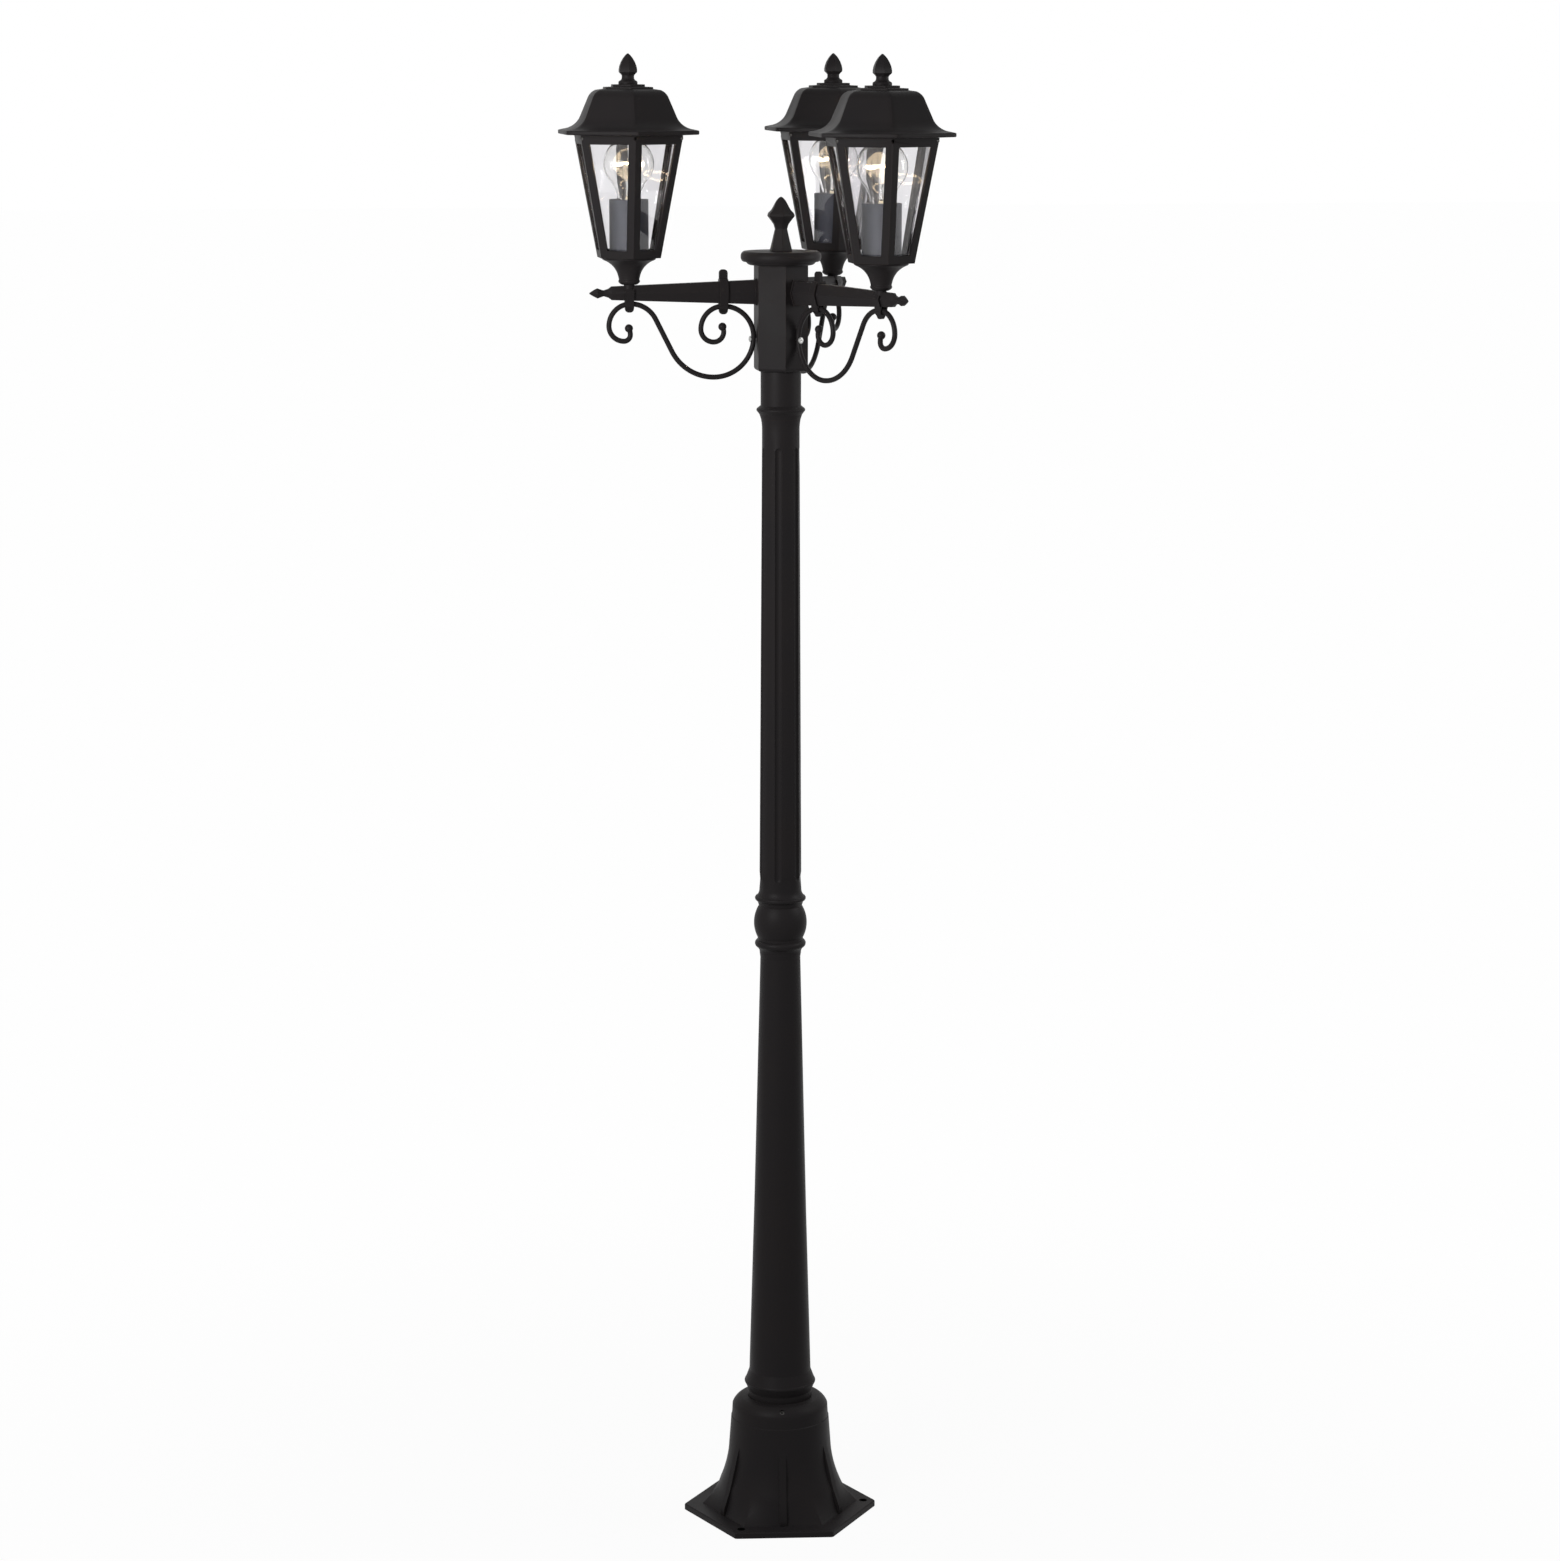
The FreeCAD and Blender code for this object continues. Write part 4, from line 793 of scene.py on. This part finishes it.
class POST_OT_roofs(bpy.types.Operator):
    """Carries the roof profile round its hexagon and rounds the arrises of the finials"""
    bl_idname = "post.roofs"
    bl_label = "Roofs and finials"

    # Distances of the flats from the lantern's axis, and heights, in mm.
    roof = [
        (77.0, 1707.0, 1.3), (78.2, 1708.3), (78.2, 1710.6, 1.3), (76.9, 1711.9),
        (69.1, 1713.6, -23.0), (53.6, 1727.2), (44.7, 1749.3, 15.6), (36.0, 1758.1),
        (28.2, 1759.2), (27.8, 1759.5), (27.8, 1761.1), (27.4, 1761.4), (19.0, 1761.8),
        (18.7, 1762.1), (18.7, 1764.1), (18.4, 1764.4), (3.15, 1764.4), (3.15, 1757.2),
        (35.0, 1755.6, -13.1), (42.3, 1748.4), (51.2, 1726.3), (53.5, 1718.6), (53.5, 1701.5),
        (55.8, 1701.5), (55.8, 1706.3), (62.6, 1706.3)]

    def execute(self, context):
        roof, width = settings().roof, settings().paint.arris
        tree = hexagonal_shell_tree()
        values = {"Columns": roof.columns, "Corner cut": roof.corner_cut,
                  "Material": finish("Cast coat")}
        points = section_points(self.roof)
        for side in SIDES:
            name = "roof_shell_" + side
            piece = grown(name, ring_mesh(name, points), tree, values)
            tidy_mesh(piece.data)
            piece.data.transform(Matrix.Translation(axis_of(side)))
            stand_for(piece, "roof_" + side, finish("Cast coat"))
            recast("roof_finial_" + side, "roof_bud_" + side, "Cast coat", width * 0.7, 20)
        recast("hub_finial", "hub_spear", "Cast coat", width, 20)
        return {"FINISHED"}


class POST_OT_scrolls(bpy.types.Operator):
    """Bends the scroll rods under the arms"""
    bl_idname = "post.scrolls"
    bl_label = "Scrolls"

    start, heading = Vector((70.4, 1481.1)), -120.0
    # (radius, turn in degrees), or (run, 0), from the inner ball to the outer one, in mm.
    bends = [(12.0, 120), (15.4, 90), (26.9, 90), (36.4, 90), (47.5, 90), (56.6, 63.2),
             (42.9, 0), (33.2, -63.2), (26.0, -90), (17.9, -90), (7.5, -90), (18.0, -25)]
    step = 4.0

    def path(self):
        """Points of the rod's line in the arm's upright plane, in metres."""
        spot, heading = self.start, self.heading
        points = [spot]
        for size, bend in self.bends:
            ahead = Matrix.Rotation(math.radians(heading), 2) @ Vector((1.0, 0.0))
            if bend == 0:
                spot = spot + ahead * size
                points.append(spot)
                continue
            arm = Vector((ahead.y, -ahead.x)) * math.copysign(size, bend)
            centre = spot - arm
            steps = math.ceil(abs(bend) / self.step)
            points += [centre + Matrix.Rotation(math.radians(bend * part / steps), 2) @ arm
                       for part in range(1, steps + 1)]
            spot = points[-1]
            heading += bend
        return [point * MM for point in points]

    def execute(self, context):
        rod = settings().rod
        tree = bent_rod_tree()
        points = self.path()
        values = {"Rod radius": rod.thick / 2, "Ball radius": rod.ball / 2,
                  "Material": finish("Rod coat")}
        for side in SIDES:
            name = "scroll_rod_" + side
            turn = Matrix.Rotation(math.radians(SIDE_ANGLES[side]), 3, "Z")
            line = [turn @ Vector((point.x, 0.0, point.y)) for point in points]
            piece = grown(name, poly_curve(name, line), tree, values)
            tidy_mesh(piece.data)
            stand_for(piece, "scroll_" + side, finish("Rod coat"))
        return {"FINISHED"}


class POST_OT_fixings(bpy.types.Operator):
    """Sets the cross-recessed screws in the lanterns and the hub"""
    bl_idname = "post.fixings"
    bl_label = "Screws"

    # Seats under the heads, out from the lantern's or the post's axis, and heights, in mm.
    roof_screw_seat, roof_screw_high = 67.3, 1702.9
    hub_screw_seat, hub_screw_high = 34.4 * math.cos(math.pi / 6) + 6.75, 1466.2

    def screw(self, name, head, rise, shank, length, around=24):
        """A pan-headed screw, its seat at the origin and its head along +Z, in mm."""
        rim, bulge = rise * 0.35, rise * 0.65
        outline = section_points([(0.0, -length), (shank * 0.8, -length), (shank, -length + 0.5),
                                  (shank, 0.0), (head, 0.0), (head, rim)])
        dome = arc(Vector((head, rim)), Vector((0.0, rise)),
                   (head ** 2 + bulge ** 2) / (2 * bulge), 7)
        made = lathe(name, outline + [point * MM for point in dome], around, closed=False)
        slot, reach, depth = head * 0.14 * MM, head * 0.62 * MM, rise * 0.5 * MM
        on_dome = rise * 0.36 * MM
        for vertex in made.data.vertices:
            across, along = sorted((abs(vertex.co.x), abs(vertex.co.y)))
            if vertex.co.z > on_dome and across < slot and along < reach:
                vertex.co.z -= depth * (1 - along / reach)
        return made

    def place(self, name, node, spots, screw, tree, metal):
        """spots are (place, aim) pairs."""
        mesh = bpy.data.meshes.new(name)
        mesh.from_pydata([spot for spot, _ in spots], [], [])
        aim = mesh.attributes.new("aim", "FLOAT_VECTOR", "POINT")
        for entry, (_, direction) in zip(aim.data, spots):
            entry.vector = direction
        piece = grown(name, mesh, tree, {"Screw": screw, "Material": metal})
        tidy_mesh(piece.data)
        stand_for(piece, node, metal)

    def execute(self, context):
        tree = fixings_tree()
        small = self.screw("roof_screw", 2.6, 1.9, 1.5, 2.1)
        for side in SIDES:
            axis = axis_of(side)
            axis.z = self.roof_screw_high * MM
            spots = [(axis + outward(angle) * self.roof_screw_seat * MM, outward(angle))
                     for angle in (90, 210, 330)]
            self.place("corner_screws_" + side, "roof_screws_" + side, spots, small, tree,
                       finish("Blackened steel"))
        pan = self.screw("scroll_screw", 3.8, 2.4, 1.6, 10.8)
        high = Vector((0.0, 0.0, self.hub_screw_high * MM))
        spots = [(high + outward(angle) * self.hub_screw_seat * MM, outward(angle))
                 for angle in SIDE_ANGLES.values()]
        self.place("hub_screws", "scroll_screws", spots, pan, tree, finish("Zinc"))
        for seed in (small, pan):
            bpy.data.objects.remove(seed)
        return {"FINISHED"}


class POST_OT_panes(bpy.types.Operator):
    """Grinds the panes' edges and finishes the panes, sleeves and lampholders"""
    bl_idname = "post.panes"
    bl_label = "Panes and lampholders"

    # Width of a pane's ground edge, in metres.
    ground = 0.0003

    def execute(self, context):
        for side in SIDES:
            recast("glass_" + side, "panes_" + side, "Pane glass", self.ground, 40, 1)
            coat_node("sleeve_" + side, finish("Sleeve card"))
            coat_node("lampholder_" + side, finish("China"))
        return {"FINISHED"}


class POST_OT_lamps(bpy.types.Operator):
    """Makes the lamps: globe, cap, mount, wires and lit filament"""
    bl_idname = "post.lamps"
    bl_label = "Lamps"

    # In mm: the globe's neck, wall and flank, where flank and dome meet, and the dome's top.
    neck, neck_low, neck_high = 12.3, 1619.0, 1627.0
    wall, flank, touch, top = 0.7, 40.2, Vector((22.26, 1653.49)), 1702.6
    # The filament's height, the wires' feet, and the cap's radius and thread, in mm.
    centre, lead_foot, support_foot = 1673.0, 1637.0, 1653.4
    cap, thread_pitch, thread_deep, thread_fade = 13.2, 3.6, 0.65, 1.5
    # Where the filament's arc starts and how far it runs, in degrees.
    filament_start, filament_sweep = -60, 300

    def globe_outline(self):
        """From the open neck up the outside and back down the inside, in metres."""
        rise = self.top - self.touch.y
        radius = (self.touch.x ** 2 + rise ** 2) / (2 * rise)
        inwards = (Vector((0.0, self.top - radius)) - self.touch).normalized()
        skins = []
        for wall in (0.0, self.wall):
            neck = self.neck - wall
            skin = [Vector((neck, self.neck_low)), Vector((neck, self.neck_high))]
            touch = self.touch + inwards * wall
            skin += arc(skin[-1], touch, -self.flank - wall, 14)
            skin += arc(touch, Vector((0.0, self.top - wall)), radius - wall, 26)
            skin[-1].x = 0.0
            skins.append(skin)
        outer, inner = skins
        return [point * MM for point in outer + inner[::-1]]

    def cap_mesh(self, name):
        """The screw cap: a rolled thread between its foot and its rim."""
        low, high, around, rows = 1604.4, 1623.6, 48, 66
        foot = [(11.9, 1602.7), (6.6, 1600.2), (0.0, 1600.0)]
        rim = [(self.cap, 1624.5), (self.cap - 0.5, 1624.5), (self.cap - 0.9, 1603.9),
               (0.0, 1602.9)]
        turns = [math.tau * column / around for column in range(around)]
        rings = []
        for row in range(rows + 1):
            height = low + (high - low) * row / rows
            phase = math.tau * (height - low) / self.thread_pitch
            fade = max(0.0, min(1.0, (height - low) / self.thread_fade,
                                (high - height) / self.thread_fade))
            rings.append([
                (self.cap - self.thread_deep * (0.5 - 0.5 * math.cos(phase - turn)) * fade, height)
                for turn in turns])
        rings += [[spot] * around for spot in foot + rim]
        verts = [(radius * math.cos(turn) * MM, radius * math.sin(turn) * MM, height * MM)
                 for ring in rings for (radius, height), turn in zip(ring, turns)]
        first_foot, first_rim = rows + 1, rows + 1 + len(foot)
        chains = (range(rows + 1), (0, *range(first_foot, first_rim)),
                  (rows, *range(first_rim, len(rings))))
        faces = []
        for chain in chains:
            for lower, upper in zip(chain, chain[1:]):
                for column in range(around):
                    after = (column + 1) % around
                    faces.append((lower * around + column, lower * around + after,
                                  upper * around + after, upper * around + column))
        mesh = bpy.data.meshes.new(name)
        mesh.from_pydata(verts, [], faces)
        tidy_mesh(mesh, 40)
        return new_object(name, mesh)

    def wires(self, name, axis, body):
        """Two leads from the mount to the filament's ends and three supports."""
        reach, height = settings().lamp.filament_reach, self.centre * MM
        foot, button = self.lead_foot * MM, self.support_foot * MM
        # Distances from the lamp's axis and heights, in metres.
        lead = [(0.0022, foot), (0.005, foot + 0.009), (reach * 0.9, height - 0.006),
                (reach, height)]
        support = [(0.0012, button - 0.0004), (0.004, button + 0.003),
                   (reach * 0.97, height - 0.0018), (reach + 0.001, height + 0.0006)]
        routes = [(lead, self.filament_start), (lead, self.filament_start + self.filament_sweep),
                  (support, 15), (support, 90), (support, 165)]
        curve = poly_curve(name, *(
            [axis + outward(angle) * away + Vector((0.0, 0.0, up)) for away, up in route]
            for route, angle in routes))
        curve.bevel_depth = 0.00028
        curve.bevel_resolution = 2
        curve.use_fill_caps = True
        source = linked(name + "_line", curve)
        mesh = evaluated_mesh(source)
        bpy.data.objects.remove(source)
        tidy_mesh(mesh)
        piece = new_object(name, mesh)
        piece.data.materials.clear()
        piece.data.materials.append(finish("Support wire"))
        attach(piece, body)

    def filament(self, name, axis, body, tree):
        """The coiled filament on its arc, which sags between its holds."""
        lamp = settings().lamp
        steps, spans, sag = 40, 4, 0.0007
        line = []
        for step in range(steps + 1):
            share = step / steps
            out = outward(self.filament_start + self.filament_sweep * share)
            height = self.centre * MM - sag * (1 - math.cos(math.tau * spans * share))
            line.append(axis + out * lamp.filament_reach + Vector((0.0, 0.0, height)))
        piece = grown(name, poly_curve(name, line), tree, {
            "Turns": lamp.filament_turns, "Coil radius": lamp.filament_coil,
            "Wire radius": lamp.filament_wire, "Material": finish("Lit filament")})
        tidy_mesh(piece.data, 60)
        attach(piece, body)

    def execute(self, context):
        tree = coiled_wire_tree()
        for side in SIDES:
            axis = axis_of(side)
            body = "bulb_" + side
            shift = Matrix.Translation(axis)
            globe = lathe("lamp_globe_" + side, self.globe_outline())
            globe.data.transform(shift)
            stand_for(globe, "bulb_glass_" + side, finish("Lamp glass"))
            cap = self.cap_mesh("lamp_cap_" + side)
            cap.data.transform(shift)
            stand_for(cap, "bulb_cap_" + side, finish("Lamp cap metal"))
            tip = lathe("lamp_contact_" + side, section_points(
                [(0.0, 1597.3), (3.6, 1597.3), (4.6, 1598.3), (6.6, 1599.6), (6.6, 1600.1),
                 (0.0, 1599.95)]), 32)
            tip.data.transform(shift)
            tip.data.materials.append(finish("Black insulator"))
            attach(tip, body)
            coat_node("bulb_mount_" + side, finish("Mount glass"))
            self.wires("lamp_wires_" + side, axis, body)
            self.filament("lamp_filament_" + side, axis, body, tree)
        return {"FINISHED"}


class POST_OT_stage(bpy.types.Operator):
    """Floor, sky, soft lights and the camera of the photograph"""
    bl_idname = "post.stage"
    bl_label = "Stage"

    # Enough for light to pass the panes and globes of two lanterns.
    bounces = 24

    def floor(self):
        """A pale floor that the camera sees almost white, most so far from the post."""
        half, low = 40.0, -0.0006
        mesh = bpy.data.meshes.new("floor")
        mesh.from_pydata([(-half, -half, low), (half, -half, low), (half, half, low),
                          (-half, half, low)], [], [(0, 1, 2, 3)])
        made = new_object("floor", mesh)
        material, tree, shader = new_material("Pale floor")
        feed_all(tree, shader, {"Base Color": (*settings().stage.floor, 1.0), "Roughness": 0.9,
                                "Specular IOR Level": 0.1})
        away = vector_math(tree, "LENGTH", object_place(tree))
        white = spread(tree, away, low=0.1, high=1.6, start=0.955, end=0.99,
                       interpolation_type="SMOOTHSTEP")
        surface_pick(tree, math_node(tree, "MULTIPLY", self.seen(tree), white),
                     shader.outputs["BSDF"], add(tree, "ShaderNodeEmission").outputs["Emission"])
        mesh.materials.append(material)

    def seen(self, tree):
        """1 for rays that the camera, polished metal or glass sends out."""
        rays = add(tree, "ShaderNodeLightPath")
        seen = rays.outputs["Is Camera Ray"]
        for label in ("Is Glossy Ray", "Is Transmission Ray"):
            seen = math_node(tree, "MAXIMUM", seen, rays.outputs[label])
        return seen

    def sky(self):
        world = bpy.data.worlds.new("white sky")
        bpy.context.scene.world = world
        world.use_nodes = True
        tree = world.node_tree
        back = tree.nodes["Background"]
        back.inputs["Color"].default_value = (1.0, 1.0, 1.0, 1.0)
        level = settings().stage.level
        lift = math_node(tree, "MULTIPLY", self.seen(tree), 1.0 - level)
        wire(tree, math_node(tree, "ADD", lift, level), back.inputs["Strength"])

    def soft_light(self, name, place, aim, width, power):
        light = bpy.data.lights.new(name, "AREA")
        light.shape = "RECTANGLE"
        light.size = light.size_y = width
        light.energy = power
        made = linked(name, light)
        made.location = place
        made.rotation_euler = (Vector(aim) - Vector(place)).to_track_quat("-Z", "Y").to_euler()

    def camera(self):
        data = bpy.data.cameras.new("photo camera")
        data.sensor_fit = "AUTO"
        data.sensor_width = 36.0
        data.lens = FOCAL_PIXELS * data.sensor_width / PHOTO_HEIGHT
        data.clip_end = 200.0
        made = linked("photo camera", data)
        made.location = CAMERA_PLACE
        turn = Euler([math.radians(angle) for angle in CAMERA_TURN]).to_matrix()
        roll = Matrix.Rotation(math.radians(CAMERA_ROLL), 3, "Z")
        made.rotation_euler = (turn @ roll).to_euler()
        bpy.context.scene.camera = made

    def execute(self, context):
        stage = settings().stage
        self.floor()
        self.sky()
        self.soft_light("key", (-1.2, -1.2, 1.68), (0.0, 0.0, 1.42), 0.8, stage.key)
        self.soft_light("fill", (1.7, -0.2, 1.75), (0.0, 0.0, 1.4), 0.8, stage.fill)
        self.camera()
        scene = context.scene
        scene.view_settings.view_transform = "Standard"
        scene.cycles.max_bounces = self.bounces
        scene.cycles.transmission_bounces = self.bounces
        scene.cycles.transparent_max_bounces = self.bounces
        return {"FINISHED"}


class POST_PT_panel(bpy.types.Panel):
    """Lists the steps that dress the post"""
    bl_label = "Lantern post"
    bl_idname = "POST_PT_panel"
    bl_space_type = "VIEW_3D"
    bl_region_type = "UI"
    bl_category = "Lantern post"

    def draw(self, context):
        for step in STEPS:
            self.layout.operator(step.bl_idname)
        for group in (settings().paint, settings().roof, settings().rod, settings().lamp,
                      settings().stage):
            box = self.layout.box()
            for name in group.__annotations__:
                box.prop(group, name)


STEPS = (POST_OT_stage, POST_OT_castings, POST_OT_roofs, POST_OT_scrolls, POST_OT_fixings,
         POST_OT_panes, POST_OT_lamps)
CLASSES = (PaintSettings, RoofSettings, RodSettings, LampSettings, StageSettings, PostSettings,
           *STEPS, POST_PT_panel)


def register():
    for kind in CLASSES:
        bpy.utils.register_class(kind)
    bpy.types.Scene.lantern_post = PointerProperty(type=PostSettings)


def unregister():
    del bpy.types.Scene.lantern_post
    for kind in reversed(CLASSES):
        bpy.utils.unregister_class(kind)


def main():
    register()
    make_finishes()
    bpy.ops.post.stage()
    bpy.ops.post.castings()
    bpy.ops.post.roofs()
    bpy.ops.post.scrolls()
    bpy.ops.post.fixings()
    bpy.ops.post.panes()
    bpy.ops.post.lamps()


if __name__ == "__main__":
    main()
